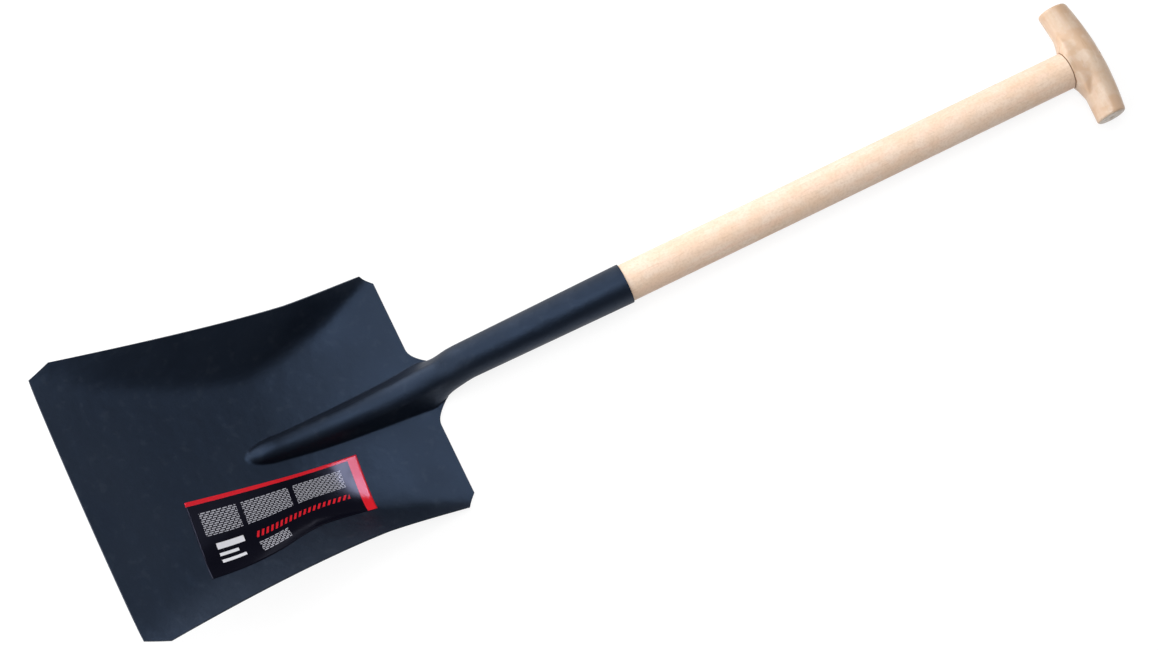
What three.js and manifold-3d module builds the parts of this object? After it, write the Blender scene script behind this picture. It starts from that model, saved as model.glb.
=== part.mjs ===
// Square mouth shovel: a pressed steel blade with a rolled socket, a round beech shaft and a T grip.
// Every piece is drawn with +X from the blade to the grip along the shaft's axis, with X = 0 at the
// socket's mouth, and +Z out of the blade's face. At the end the shovel is laid on its back.
import * as THREE from "three";
import { mergeVertices } from "three/addons/utils/BufferGeometryUtils.js";
import Module from "manifold-3d";

const wasm = await Module();
wasm.setup();

// Clearances and cuts, in millimetres
const seatGap = 0.45;
const faceGap = 0.3;
const cutOverrun = 4;

// The steel sheet and the socket rolled from it
const sheetThickness = 1.8;
const socketMouthRadius = 20.4;
const socketNeckRadius = 18.5;
const socketClosedLength = 170;
const neckSwell = 2;
const seamGap = 0.9;
const rearEdgeSetback = 220.6;
const rearEdgeDrop = 25.2;

// The pan, measured along and across the line from its rear edge to its mouth
const liftAngle = THREE.MathUtils.degToRad(25.5);
const panLength = 356;
const mouthWidth = 290;
const waistWidth = 243.6;
const rearWidth = 257.6;
const waistShare = 0.28;
const mouthFlareShare = 1.6;
const rearFlareShare = 1.3;
const mouthBow = 1.4;
const cornerCutWidth = 12.5;
const mouthCornerCutLength = 22;
const rearCornerCutLength = 11;
const shoulderRadius = 15;

// The pan's hollow and its turned up sides
const panDepth = 36;
const deepestShare = 0.405;
const mouthDish = 5;
const sideArch = 6.5;
const foldWaistWidth = 154;
const foldWaistShare = 0.43;
const foldRearSpreadShare = 1.4;
const foldMouthSpreadShare = 1.55;
const mouthWallRun = 16;
const rearWallRun = 2;
const foldRearSoftness = 7;
const foldMouthSoftness = 15;
const floorRiseShare = 1.4;

// The rib that carries the socket's line on into the pan
const ribStripWidth = 54;
const ribLengthShare = 0.52;
const ribNoseShare = 0.2;
const ribFlankAngle = THREE.MathUtils.degToRad(66);
const ribTopShare = 0.84;
const ribRearHeight = 34.5;
const ribShoulderHeight = 27.5;
const ribMiddleHeight = 19.5;
const ribNoseHeight = 14;
const ribRearWidth = 51;
const ribShoulderWidth = 45.5;
const ribMiddleWidth = 34.5;
const ribNoseWidth = 27.5;
const ribShoulderShare = 0.08;
const ribMiddleShare = 0.3;

// The shaft
const shaftRadius = 19;
const shaftGripRadius = 18.6;
const shaftLength = 488;
const shaftTipLength = 26;
const shaftTipRadius = 8;
const shaftTipRound = 3;
const tenonRadius = 12.5;

// The grip
const gripLength = 124.6;
const gripCentreHeight = 38.6;
const gripArcSagitta = 6.7;
const gripMiddleThickness = 34.4;
const gripEndThickness = 30.2;
const gripMiddleDepth = 36.8;
const gripEndDepth = 30;
const gripSwellWidth = 24;
const gripEndRound = 2.2;
const gripEndRoundShare = 0.3;
const gripNeckFlare = 20;
const gripNeckRun = 5;
const gripNeckStartAngle = THREE.MathUtils.degToRad(55);

// The wedge that spreads the tenon in the grip
const wedgeWidth = 22;
const wedgeDepth = 22;
const wedgeThickness = 3.4;
const wedgeEdgeThickness = 0.8;

// The rivet that holds the shaft in the socket
const rivetRadius = 2.5;
const rivetHeadRadius = 5;
const rivetHeadHeight = 2.2;
const rivetCrownShare = 0.86;
const rivetTopShare = 0.45;
const rivetLength = 16;
const rivetSetback = 24;
const rivetAngle = THREE.MathUtils.degToRad(145);

// The label, placed on the pan between the rib and one side
const labelThickness = 0.3;
const labelGap = 0.5;
const labelRearDistance = 86;
const labelMouthDistance = 266;
const labelRearInner = 34;
const labelMouthInner = 22.5;
const labelMouthOuter = 99;
const labelRearOuter = 86.5;
const labelMiddleOuter = 81;
const labelCurveShare = 0.35;

// How finely the curved pieces are divided
const panRows = 44;
const neckRows = 12;
const socketRows = 3;
const ribColumns = 12;
const wingColumns = 8;
const shoulderColumns = 5;
const roundSegments = 40;
const gripRows = 22;
const gripNeckRows = 6;
const labelRows = 16;
const labelColumns = 8;
const levellingSteps = 60;
const steepestTilt = THREE.MathUtils.degToRad(20);

// Smooth step from 0 to 1
function ease(share) {
  const t = THREE.MathUtils.clamp(share, 0, 1);
  return t * t * (3 - 2 * t);
}

// A smooth curve from one value to another, with both slopes given for the whole way
function smoothCurve(t, start, startSlope, end, endSlope) {
  const leaving = (start * (1 + 2 * t) + startSlope * t) * (1 - t) ** 2;
  const arriving = (end * (3 - 2 * t) + endSlope * (t - 1)) * t * t;
  return leaving + arriving;
}

// A smooth curve through points [place, value], straight on before the first and level after the last
function throughPoints(points, place) {
  const last = points.length - 1;
  const slope = (i) => {
    const a = points[Math.max(i - 1, 0)];
    const b = points[Math.min(i + 1, last)];
    return (b[1] - a[1]) / (b[0] - a[0]);
  };
  if (place <= points[0][0]) return points[0][1] + slope(0) * (place - points[0][0]);
  if (place >= points[last][0]) return points[last][1];
  let i = 0;
  while (place > points[i + 1][0]) i += 1;
  const span = points[i + 1][0] - points[i][0];
  const t = (place - points[i][0]) / span;
  return smoothCurve(t, points[i][1], slope(i) * span, points[i + 1][1], slope(i + 1) * span);
}

// A closed geometry as a solid that can be joined and cut
function toSolid(geometry) {
  const bare = geometry.clone();
  bare.deleteAttribute("normal");
  bare.deleteAttribute("uv");
  const merged = mergeVertices(bare);
  const vertProperties = new Float32Array(merged.attributes.position.array);
  const triVerts = new Uint32Array(merged.index.array);
  return new wasm.Manifold(new wasm.Mesh({ numProp: 3, vertProperties, triVerts }));
}

function toGeometry(solid) {
  const mesh = solid.getMesh();
  const geometry = new THREE.BufferGeometry();
  geometry.setAttribute("position", new THREE.BufferAttribute(mesh.vertProperties, 3));
  geometry.setIndex(new THREE.BufferAttribute(mesh.triVerts, 1));
  geometry.computeVertexNormals();
  return geometry;
}

function indexedGeometry(points, triangles) {
  const geometry = new THREE.BufferGeometry().setFromPoints(points);
  geometry.setIndex(triangles.flat());
  geometry.computeVertexNormals();
  return geometry;
}

// A lathe profile of [x, radius] turned about the X axis
function turned(profile) {
  const points = profile.map(([x, radius]) => new THREE.Vector2(radius, x));
  return new THREE.LatheGeometry(points, roundSegments).rotateZ(-Math.PI / 2);
}

// Sheet metal: a surface thickened evenly about its middle, or to the side that its normals face
function thickened(points, triangles, under, over) {
  const normals = indexedGeometry(points, triangles).attributes.normal;
  const count = points.length;
  const offset = (depth) => points.map((p, i) => {
    return new THREE.Vector3().fromBufferAttribute(normals, i).multiplyScalar(depth).add(p);
  });
  const faces = triangles.flatMap(([a, b, c]) => [[a, b, c], [a + count, c + count, b + count]]);
  const edges = new Set(triangles.flatMap(([a, b, c]) => [`${a},${b}`, `${b},${c}`, `${c},${a}`]));
  for (const edge of edges) {
    const [a, b] = edge.split(",").map(Number);
    if (!edges.has(`${b},${a}`)) faces.push([a, a + count, b + count], [a, b + count, b]);
  }
  return indexedGeometry([...offset(over), ...offset(-under)], faces);
}

// The pan's frame: along from the rear edge to the mouth, across, and up out of the hollow
function panPoint(along, across, up) {
  const x = -rearEdgeSetback - along * Math.cos(liftAngle) + up * Math.sin(liftAngle);
  const z = -rearEdgeDrop + along * Math.sin(liftAngle) + up * Math.cos(liftAngle);
  return new THREE.Vector3(x, across, z);
}

// Half the pan's width: narrowest at the waist, wider towards the mouth and the rear corners
function panHalfWidth(along) {
  const waist = waistShare * panLength;
  if (along > waist) {
    const share = (along - waist) / (panLength - waist);
    return (waistWidth + (mouthWidth - waistWidth) * share ** mouthFlareShare) / 2;
  }
  const share = Math.min((waist - along) / waist, 1);
  return (waistWidth + (rearWidth - waistWidth) * share ** rearFlareShare) / 2;
}

// Half the width of the floor between the folds of the two sides
function floorHalfWidth(along) {
  const waist = foldWaistShare * panLength;
  const mouth = mouthWidth / 2 - mouthWallRun;
  const rear = rearWidth / 2 - rearWallRun;
  if (along > waist) {
    const share = (along - waist) / (panLength - waist);
    return foldWaistWidth / 2 + (mouth - foldWaistWidth / 2) * share ** foldMouthSpreadShare;
  }
  const share = Math.min((waist - along) / waist, 1);
  return foldWaistWidth / 2 + (rear - foldWaistWidth / 2) * share ** foldRearSpreadShare;
}

// How far the floor lies under the line from the rear edge to the mouth
function floorDepth(along) {
  const deepest = deepestShare * panLength;
  if (along < 0) return (2 * panDepth * along) / deepest;
  if (along < deepest) return panDepth * (1 - (1 - along / deepest) ** 2);
  const share = (along - deepest) / (panLength - deepest);
  return mouthDish + (panDepth - mouthDish) * (1 - share ** floorRiseShare);
}

// Height of the pan without its rib: a floor, a soft fold and a rising side
function panHeight(along, across) {
  const depth = floorDepth(along);
  const t = THREE.MathUtils.clamp(along / panLength, 0, 1);
  const arch = 4 * sideArch * t * (1 - t);
  const halfWidth = panHalfWidth(along);
  const fold = floorHalfWidth(along);
  const softness = THREE.MathUtils.lerp(foldRearSoftness, foldMouthSoftness, t);
  const rise = (run) => Math.hypot(run, softness) + run;
  if (along <= 0) return -depth;
  return -depth + ((depth + arch) * rise(Math.abs(across) - fold)) / rise(halfWidth - fold);
}

// Height and half width of the rib at a place along the pan, falling to nothing at its round nose
function ribSize(along) {
  const noseStart = (ribLengthShare - ribNoseShare / 2) * panLength;
  const shoulder = ribShoulderShare * panLength;
  const middle = ribMiddleShare * panLength;
  const heights = [[0, ribRearHeight], [shoulder, ribShoulderHeight], [middle, ribMiddleHeight]];
  const widths = [[0, ribRearWidth], [shoulder, ribShoulderWidth], [middle, ribMiddleWidth]];
  heights.push([noseStart, ribNoseHeight]);
  widths.push([noseStart, ribNoseWidth]);
  const past = THREE.MathUtils.clamp((along - noseStart) / (ribLengthShare * panLength - noseStart), 0, 1);
  const place = Math.max(along, -socketClosedLength);
  return {
    height: throughPoints(heights, place) * (1 - past * past),
    halfWidth: (throughPoints(widths, Math.max(place, 0)) / 2) * Math.sqrt(1 - past * past),
  };
}

// The rib's half section from its crest to the edge of its strip: round top, flank, foot fillet, flat.
// The share runs evenly along the section; the answer is the distance across and the height.
function ribSection(along, share) {
  const halfStrip = ribStripWidth / 2;
  const { height, halfWidth } = ribSize(along);
  if (height <= 0) return { across: halfStrip * share, height: 0 };
  const roundTurn = 2 * Math.atan2(height, halfWidth);
  const turn = Math.min(ribFlankAngle, roundTurn);
  const steep = (halfWidth * Math.tan(turn) - height) / (1 / Math.cos(turn) - 1);
  const rounds = roundTurn < ribFlankAngle ? halfWidth / Math.sin(turn) : steep;
  const top = rounds * ribTopShare;
  const foot = rounds - top;
  const flank = Math.max((halfWidth - rounds * Math.sin(turn)) / Math.cos(turn), 0);
  const flat = halfStrip - halfWidth;
  const place = share * (top * turn + flank + foot * turn + flat);
  if (place < top * turn) {
    const angle = place / top;
    return { across: top * Math.sin(angle), height: height - top * (1 - Math.cos(angle)) };
  }
  const flankPlace = place - top * turn;
  const flankAcross = top * Math.sin(turn);
  const flankHeight = height - top * (1 - Math.cos(turn));
  if (flankPlace < flank) {
    return {
      across: flankAcross + flankPlace * Math.cos(turn),
      height: flankHeight - flankPlace * Math.sin(turn),
    };
  }
  const footPlace = flankPlace - flank;
  if (footPlace < foot * turn) {
    const angle = turn - footPlace / foot;
    return { across: halfWidth - foot * Math.sin(angle), height: foot * (1 - Math.cos(angle)) };
  }
  return { across: halfWidth + footPlace - foot * turn, height: 0 };
}

function socketRadius(x) {
  const share = THREE.MathUtils.clamp(-x / socketClosedLength, 0, 1);
  return THREE.MathUtils.lerp(socketMouthRadius, socketNeckRadius, share);
}

// A point of the rolled socket: share 0 is its crest and share 1 the edge at the seam on its back
function socketPoint(x, side, share) {
  const radius = socketRadius(x) - sheetThickness / 2;
  const angle = share * (Math.PI - seamGap / 2 / radius);
  return new THREE.Vector3(x, side * radius * Math.sin(angle), radius * Math.cos(angle));
}

const neckRun = (rearEdgeSetback - socketClosedLength) * Math.cos(liftAngle);
const halfStrip = ribStripWidth / 2;

// How far the sheet has closed from pan to socket at a place behind the rear edge
function closing(along) {
  return ease(-along / neckRun);
}

function neckX(along) {
  return THREE.MathUtils.lerp(-rearEdgeSetback, -socketClosedLength, -along / neckRun);
}

// The strip's plain mix of rib and socket at a place behind the rear edge
function mixedStrip(along, side, share) {
  const section = ribSection(along, share);
  const across = side * section.across;
  const open = panPoint(along, across, panHeight(along, across) + section.height);
  return along < 0 ? open.lerp(socketPoint(neckX(along), side, share), closing(along)) : open;
}

// Height of the crest in the neck: in line with the rib at one end and with the socket at the other
function neckCrest(x) {
  const rib = panPoint(0, 0, ribRearHeight);
  const span = -socketClosedLength - rib.x;
  const fall = (ribShoulderHeight - ribRearHeight) / (ribShoulderShare * panLength);
  const climb = fall - (2 * panDepth) / (deepestShare * panLength);
  const ribAngle = Math.atan(climb) + liftAngle;
  const socketSlope = (socketMouthRadius - socketNeckRadius) / socketClosedLength;
  const socketCrest = socketNeckRadius - sheetThickness / 2;
  return smoothCurve((x - rib.x) / span, rib.z, -Math.tan(ribAngle) * span, socketCrest, socketSlope * span);
}

// A point of the middle strip, which is the rib in the pan and rolls up into the socket behind it
function stripPoint(along, side, share) {
  const mixed = mixedStrip(along, side, share);
  if (along >= 0) return mixed;
  const closed = closing(along);
  const crest = mixedStrip(along, side, 0);
  const away = new THREE.Vector3(0, mixed.y, mixed.z).normalize();
  mixed.addScaledVector(away, neckSwell * ((4 * closed * (1 - closed)) * (3 * share * (1 - share))));
  mixed.z += (neckCrest(crest.x) - crest.z) * (1 - share * share) ** 2;
  return mixed;
}

// A point of the pan beside the strip, which follows the strip's edge round the shoulder
function wingPoint(along, side, across) {
  const open = panPoint(along, side * across, panHeight(along, across));
  if (along >= 0) return open;
  const x = neckX(along);
  const rolled = new THREE.Vector3(x, side * (across - halfStrip), -socketRadius(x) + sheetThickness / 2);
  return open.lerp(rolled, closing(along));
}

// The pan's front limit at a distance across: a slight bow, and a cut corner
function mouthLimit(across) {
  const halfWidth = mouthWidth / 2;
  const cut = Math.max(across - (halfWidth - cornerCutWidth), 0) / cornerCutWidth;
  return panLength + mouthBow * (1 - (across / halfWidth) ** 2) - mouthCornerCutLength * Math.min(cut, 1);
}

// Its rear limit: the shoulder's round beside the neck, the straight edge and a cut corner
function rearLimit(across) {
  const cut = Math.max(across - (rearWidth / 2 - cornerCutWidth), 0) / cornerCutWidth;
  if (cut > 0) return rearCornerCutLength * Math.min(cut, 1);
  const inRound = Math.max(halfStrip + shoulderRadius - across, 0);
  return Math.sqrt(Math.max(shoulderRadius ** 2 - inRound ** 2, 0)) - shoulderRadius;
}

// Distances across of the wing's columns: round the shoulder, over the fold, and at the cut corner
function wingAcross(along, column) {
  const outer = panHalfWidth(along) - cornerCutWidth;
  if (column <= shoulderColumns) {
    const angle = (column / shoulderColumns) * (Math.PI / 2);
    return halfStrip + shoulderRadius * (1 - Math.cos(angle));
  }
  const share = (column - shoulderColumns) / wingColumns;
  if (share > 1) return panHalfWidth(along);
  return THREE.MathUtils.lerp(halfStrip + shoulderRadius, outer, share);
}

function panAlong(row, mouth, rear) {
  return THREE.MathUtils.lerp(mouth, rear, row / panRows);
}

function wingRowPoint(row, side, column) {
  const nominal = panAlong(row, panLength, -shoulderRadius);
  const mouthAcross = wingAcross(panLength, column);
  const rearAcross = wingAcross(0, column);
  const along = panAlong(row, mouthLimit(mouthAcross), rearLimit(rearAcross));
  return wingPoint(along, side, wingAcross(Math.max(along, Math.min(nominal, 0)), column));
}

function stripRowPoint(row, side, column) {
  const share = column / ribColumns;
  if (row <= panRows) {
    const mouth = mouthLimit(halfStrip * share);
    return stripPoint(panAlong(row, mouth, -shoulderRadius), side, share);
  }
  if (row <= panRows + neckRows) {
    const along = THREE.MathUtils.lerp(-shoulderRadius, -neckRun, (row - panRows) / neckRows);
    return stripPoint(along, side, share);
  }
  const x = THREE.MathUtils.lerp(-socketClosedLength, 0, (row - panRows - neckRows) / socketRows);
  return socketPoint(x, side, share);
}

// The whole sheet as rows of points from one side to the other, with its triangles facing out of the face
function bladeSheet() {
  const points = [];
  const triangles = [];
  const wings = shoulderColumns + wingColumns + 1;
  let before = null;
  for (let row = 0; row <= panRows + neckRows + socketRows; row += 1) {
    const ids = new Map();
    const reach = row <= panRows ? ribColumns + wings : ribColumns;
    for (let column = -reach; column <= reach; column += 1) {
      const side = Math.sign(column) || 1;
      const step = Math.abs(column);
      const inStrip = step <= ribColumns;
      ids.set(column, points.length);
      points.push(inStrip ? stripRowPoint(row, side, step) : wingRowPoint(row, side, step - ribColumns));
    }
    for (let column = -reach; before && column < reach; column += 1) {
      const corners = [before.get(column), before.get(column + 1), ids.get(column + 1), ids.get(column)];
      const [a, b, c, d] = corners;
      if (column < 0) triangles.push([a, d, b], [b, d, c]);
      else triangles.push([a, d, c], [a, c, b]);
    }
    before = ids;
  }
  return { points, triangles };
}

// Place and direction of the rivet, square to the socket's back beside the seam
const rivetSeat = new THREE.Vector3(
  -rivetSetback,
  Math.sin(rivetAngle) * socketRadius(-rivetSetback),
  Math.cos(rivetAngle) * socketRadius(-rivetSetback),
);

// Turns a piece drawn along +X so that it points out of the socket at the rivet
function atRivet(geometry) {
  const out = new THREE.Vector3(0, rivetSeat.y, rivetSeat.z).normalize();
  const turn = new THREE.Quaternion().setFromUnitVectors(new THREE.Vector3(1, 0, 0), out);
  return geometry.applyQuaternion(turn).translate(rivetSeat.x, rivetSeat.y, rivetSeat.z);
}

function rivetHole(radius, depth) {
  const profile = [[-depth, 0], [-depth, radius], [cutOverrun, radius], [cutOverrun, 0]];
  return toSolid(atRivet(turned(profile)));
}

function bladeAndSocket() {
  const { points, triangles } = bladeSheet();
  const sheet = toSolid(thickened(points, triangles, sheetThickness / 2, sheetThickness / 2));
  return toGeometry(sheet.subtract(rivetHole(rivetRadius + faceGap, sheetThickness + cutOverrun)));
}

function socketRivet() {
  const headBase = faceGap;
  const round = rivetHeadHeight / 2;
  return atRivet(turned([
    [-rivetLength, 0],
    [-rivetLength + rivetRadius, rivetRadius],
    [headBase, rivetRadius],
    [headBase, rivetHeadRadius],
    [headBase + round, rivetHeadRadius * rivetCrownShare],
    [headBase + rivetHeadHeight, rivetHeadRadius * rivetTopShare],
    [headBase + rivetHeadHeight, 0],
  ]));
}

const gripOuter = shaftLength + gripCentreHeight;

function wedgeSolid(grow) {
  const thick = wedgeThickness / 2 + grow;
  const thin = wedgeEdgeThickness / 2 + grow;
  const half = wedgeWidth / 2 + grow;
  const start = gripOuter - wedgeDepth - grow;
  const end = gripOuter + (grow > 0 ? cutOverrun : 0);
  const shape = new THREE.Shape();
  shape.moveTo(start, -thin);
  shape.lineTo(end, -thick);
  shape.lineTo(end, thick);
  shape.lineTo(start, thin);
  shape.closePath();
  const geometry = new THREE.ExtrudeGeometry(shape, { depth: 2 * half, bevelEnabled: false });
  return toSolid(geometry.translate(0, 0, -half));
}

// The grip's outer arc, as the distance that it has fallen back at a distance across
function gripFallback(across) {
  const half = gripLength / 2;
  return gripArcSagitta * (across / half) ** 2;
}

// The shaft: tapered tip in the neck, seat in the socket, round stick, and a tenon slotted for the wedge
function shaft() {
  const inside = (x) => socketRadius(x) - sheetThickness - seatGap;
  const tipStart = -socketClosedLength;
  const tipEnd = tipStart - shaftTipLength;
  const shoulder = shaftLength - faceGap;
  const stick = toSolid(turned([
    [tipEnd, 0],
    [tipEnd, shaftTipRadius - shaftTipRound],
    [tipEnd + shaftTipRound, shaftTipRadius],
    [tipStart, inside(tipStart)],
    [0, inside(0)],
    [faceGap, shaftRadius - seatGap],
    [faceGap + seatGap, shaftRadius],
    [shoulder, shaftGripRadius],
    [shoulder, tenonRadius],
    [gripOuter, tenonRadius],
    [gripOuter, 0],
  ]));
  const pilot = rivetHole(rivetRadius + faceGap, rivetLength + faceGap);
  return toGeometry(stick.subtract(pilot).subtract(wedgeSolid(faceGap)).subtract(beyondGrip()));
}

function gripWedge() {
  return toGeometry(wedgeSolid(0).subtract(beyondGrip()));
}

// The grip's bar: oval sections across, thicker in the middle, with its ends rounded over
function gripBar(inset) {
  const half = gripLength / 2;
  const points = [];
  const triangles = [];
  const ring = roundSegments;
  const addRing = (across, rounding) => {
    const trim = rounding + inset;
    const swell = Math.exp(-((across / gripSwellWidth) ** 2));
    const t = Math.min(Math.abs(across) / half, 1);
    const thickness = THREE.MathUtils.lerp(gripMiddleThickness, gripEndThickness, t * t) - 2 * trim;
    const depth = THREE.MathUtils.lerp(gripEndDepth, gripMiddleDepth, swell) - 2 * trim;
    const centre = gripOuter - gripFallback(across) - trim - thickness / 2;
    for (let i = 0; i < ring; i += 1) {
      const angle = (i / ring) * 2 * Math.PI;
      const x = centre + (thickness / 2) * Math.cos(angle);
      points.push(new THREE.Vector3(x, across, (depth / 2) * Math.sin(angle)));
    }
  };
  const edge = gripEndRound * gripEndRoundShare;
  const inner = half - gripEndRound;
  addRing(-half, gripEndRound);
  addRing(edge - half, edge);
  for (let i = 0; i <= gripRows; i += 1) addRing(THREE.MathUtils.lerp(-inner, inner, i / gripRows), 0);
  addRing(half - edge, edge);
  addRing(half, gripEndRound);
  const rings = points.length / ring;
  for (let r = 0; r + 1 < rings; r += 1) {
    for (let i = 0; i < ring; i += 1) {
      const a = r * ring + i;
      const b = r * ring + ((i + 1) % ring);
      triangles.push([a, a + ring, b], [b, a + ring, b + ring]);
    }
  }
  for (let i = 1; i + 1 < ring; i += 1) {
    const end = (rings - 1) * ring;
    triangles.push([0, i, i + 1], [end, end + i + 1, end + i]);
  }
  return toSolid(indexedGeometry(points, triangles));
}

// All that lies outside the grip's outer side, which trims the tenon and its wedge flush
function beyondGrip() {
  const reach = gripMiddleThickness / 2 + cutOverrun;
  const block = new THREE.BoxGeometry(reach, gripLength, gripLength);
  return toSolid(block.translate(gripOuter + cutOverrun - reach / 2, 0, 0)).subtract(gripBar(faceGap));
}

// The grip's neck: a round end face on the shaft's shoulder that flares sideways into the bar
function gripNeck() {
  const ring = roundSegments;
  const points = [];
  const triangles = [];
  const reach = gripCentreHeight / 2;
  for (let level = 0; level <= gripNeckRows + 1; level += 1) {
    const t = Math.min(level / gripNeckRows, 1);
    const angle = THREE.MathUtils.lerp(gripNeckStartAngle, Math.PI / 2, t);
    const run = (Math.sin(angle) - Math.sin(gripNeckStartAngle)) / (1 - Math.sin(gripNeckStartAngle));
    const x = shaftLength + (level > gripNeckRows ? reach : gripNeckRun * run);
    const flare = gripNeckFlare * (1 - Math.cos(angle) / Math.cos(gripNeckStartAngle));
    const slim = (shaftGripRadius - gripMiddleDepth / 2 + faceGap) * t;
    for (let i = 0; i < ring; i += 1) {
      const round = (i / ring) * 2 * Math.PI;
      const y = (shaftGripRadius + flare) * Math.cos(round);
      points.push(new THREE.Vector3(x, y, (shaftGripRadius - slim) * Math.sin(round)));
    }
  }
  const rings = points.length / ring;
  for (let r = 0; r + 1 < rings; r += 1) {
    for (let i = 0; i < ring; i += 1) {
      const a = r * ring + i;
      const b = r * ring + ((i + 1) % ring);
      triangles.push([a, b, a + ring], [b, b + ring, a + ring]);
    }
  }
  for (let i = 1; i + 1 < ring; i += 1) {
    const end = (rings - 1) * ring;
    triangles.push([0, i + 1, i], [end, end + i, end + i + 1]);
  }
  return toSolid(indexedGeometry(points, triangles));
}

function grip() {
  const boreRadius = tenonRadius + faceGap;
  const start = shaftLength - cutOverrun;
  const end = gripOuter + cutOverrun;
  const bore = toSolid(turned([[start, 0], [start, boreRadius], [end, boreRadius], [end, 0]]));
  return toGeometry(gripBar(0).add(gripNeck()).subtract(bore));
}

// The label: a thin film over the pan's floor whose outer edge swings in where the side rises
function label() {
  const points = [];
  const triangles = [];
  const outerEdge = [
    [labelRearDistance, labelRearOuter],
    [THREE.MathUtils.lerp(labelRearDistance, labelMouthDistance, labelCurveShare / 2), labelMiddleOuter],
    [THREE.MathUtils.lerp(labelRearDistance, labelMouthDistance, 2 * labelCurveShare), labelMouthOuter],
    [labelMouthDistance, labelMouthOuter],
  ];
  for (let row = 0; row <= labelRows; row += 1) {
    const share = row / labelRows;
    const along = THREE.MathUtils.lerp(labelMouthDistance, labelRearDistance, share);
    const inner = THREE.MathUtils.lerp(labelMouthInner, labelRearInner, share);
    const outer = throughPoints(outerEdge, along);
    for (let column = 0; column <= labelColumns; column += 1) {
      const across = -THREE.MathUtils.lerp(outer, inner, column / labelColumns);
      points.push(panPoint(along, across, panHeight(along, across)));
    }
  }
  for (let row = 0; row < labelRows; row += 1) {
    for (let column = 0; column < labelColumns; column += 1) {
      const a = row * (labelColumns + 1) + column;
      const d = a + labelColumns + 1;
      triangles.push([a, d, a + 1], [a + 1, d, d + 1]);
    }
  }
  const under = sheetThickness / 2 + labelGap;
  return thickened(points, triangles, -under, under + labelThickness);
}

// Materials
const paint = new THREE.MeshStandardMaterial({ color: 0x222a38, roughness: 0.42, metalness: 0.1 });
const beech = new THREE.MeshStandardMaterial({ color: 0xe9cfae, roughness: 0.55, metalness: 0 });
const paleBeech = new THREE.MeshStandardMaterial({ color: 0xdfc3a0, roughness: 0.55, metalness: 0 });
const wedgeWood = new THREE.MeshStandardMaterial({ color: 0xb98f62, roughness: 0.6, metalness: 0 });
const rivetSteel = new THREE.MeshStandardMaterial({ color: 0x2c333f, roughness: 0.4, metalness: 0.6 });
const labelFilm = new THREE.MeshStandardMaterial({ color: 0x0c0c10, roughness: 0.15, metalness: 0 });

function piece(name, geometry, material) {
  const mesh = new THREE.Mesh(geometry, material);
  mesh.name = name;
  return mesh;
}

const blade = piece("blade_and_socket", bladeAndSocket(), paint);
const bar = piece("grip", grip(), paleBeech);
const shovel = new THREE.Group();
shovel.add(blade);
shovel.add(piece("socket_rivet", socketRivet(), rivetSteel));
shovel.add(piece("shaft", shaft(), beech));
shovel.add(bar);
shovel.add(piece("grip_wedge", gripWedge(), wedgeWood));
shovel.add(piece("label", label(), labelFilm));

function lowest(mesh, tilt) {
  const position = mesh.geometry.attributes.position;
  let low = Infinity;
  for (let i = 0; i < position.count; i += 1) {
    low = Math.min(low, position.getZ(i) * Math.cos(tilt) - position.getX(i) * Math.sin(tilt));
  }
  return low;
}

// At rest the shovel lies on its back, on the heel of the pan and the grip
function restTilt() {
  let level = -steepestTilt;
  let steep = steepestTilt;
  for (let i = 0; i < levellingSteps; i += 1) {
    const middle = (level + steep) / 2;
    if (lowest(blade, middle) < lowest(bar, middle)) level = middle;
    else steep = middle;
  }
  return (level + steep) / 2;
}

shovel.rotation.y = restTilt();
const part = new THREE.Group();
part.add(shovel);
part.updateMatrixWorld(true);
const extent = new THREE.Box3().setFromObject(part, true);
shovel.position.set(-(extent.min.x + extent.max.x) / 2, 0, -extent.min.z);

export default part;
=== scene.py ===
import logging
import math
from dataclasses import dataclass
from enum import Enum

import bmesh
import bpy
from mathutils import Matrix, Vector


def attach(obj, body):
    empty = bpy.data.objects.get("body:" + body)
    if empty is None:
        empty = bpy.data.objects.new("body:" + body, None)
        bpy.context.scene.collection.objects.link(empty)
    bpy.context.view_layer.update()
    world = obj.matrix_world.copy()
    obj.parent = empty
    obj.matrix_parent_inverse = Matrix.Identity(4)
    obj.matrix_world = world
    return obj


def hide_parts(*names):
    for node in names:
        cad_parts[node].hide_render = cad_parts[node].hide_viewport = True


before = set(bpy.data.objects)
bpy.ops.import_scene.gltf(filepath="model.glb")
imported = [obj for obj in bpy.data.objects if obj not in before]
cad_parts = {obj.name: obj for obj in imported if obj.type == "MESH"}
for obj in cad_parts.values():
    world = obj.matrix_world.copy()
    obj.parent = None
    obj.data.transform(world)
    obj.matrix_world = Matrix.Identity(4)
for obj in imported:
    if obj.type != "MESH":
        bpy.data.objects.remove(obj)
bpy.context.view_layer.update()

EDGE_STEPS = 3
SHARP_TURN = math.radians(50)
Triple = tuple[float, float, float]
Colour = Triple
Span = tuple[float, float, float, float]
Node = bpy.types.Node
Socket = bpy.types.NodeSocket
Piece = bpy.types.Object
log = logging.getLogger("shovel")


def ease(share: float) -> float:
    """Smooth step.

    Args:
        share: Place between the start, 0, and the end, 1. Places outside are held at the ends.

    Returns:
        A value that leaves 0 and reaches 1 without a corner.
    """
    t = min(max(share, 0.0), 1.0)
    return t * t * (3 - 2 * t)


def lerp(start: float, end: float, share: float) -> float:
    """Returns the value that lies a share of the way from start to end."""
    return start + (end - start) * share


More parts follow.
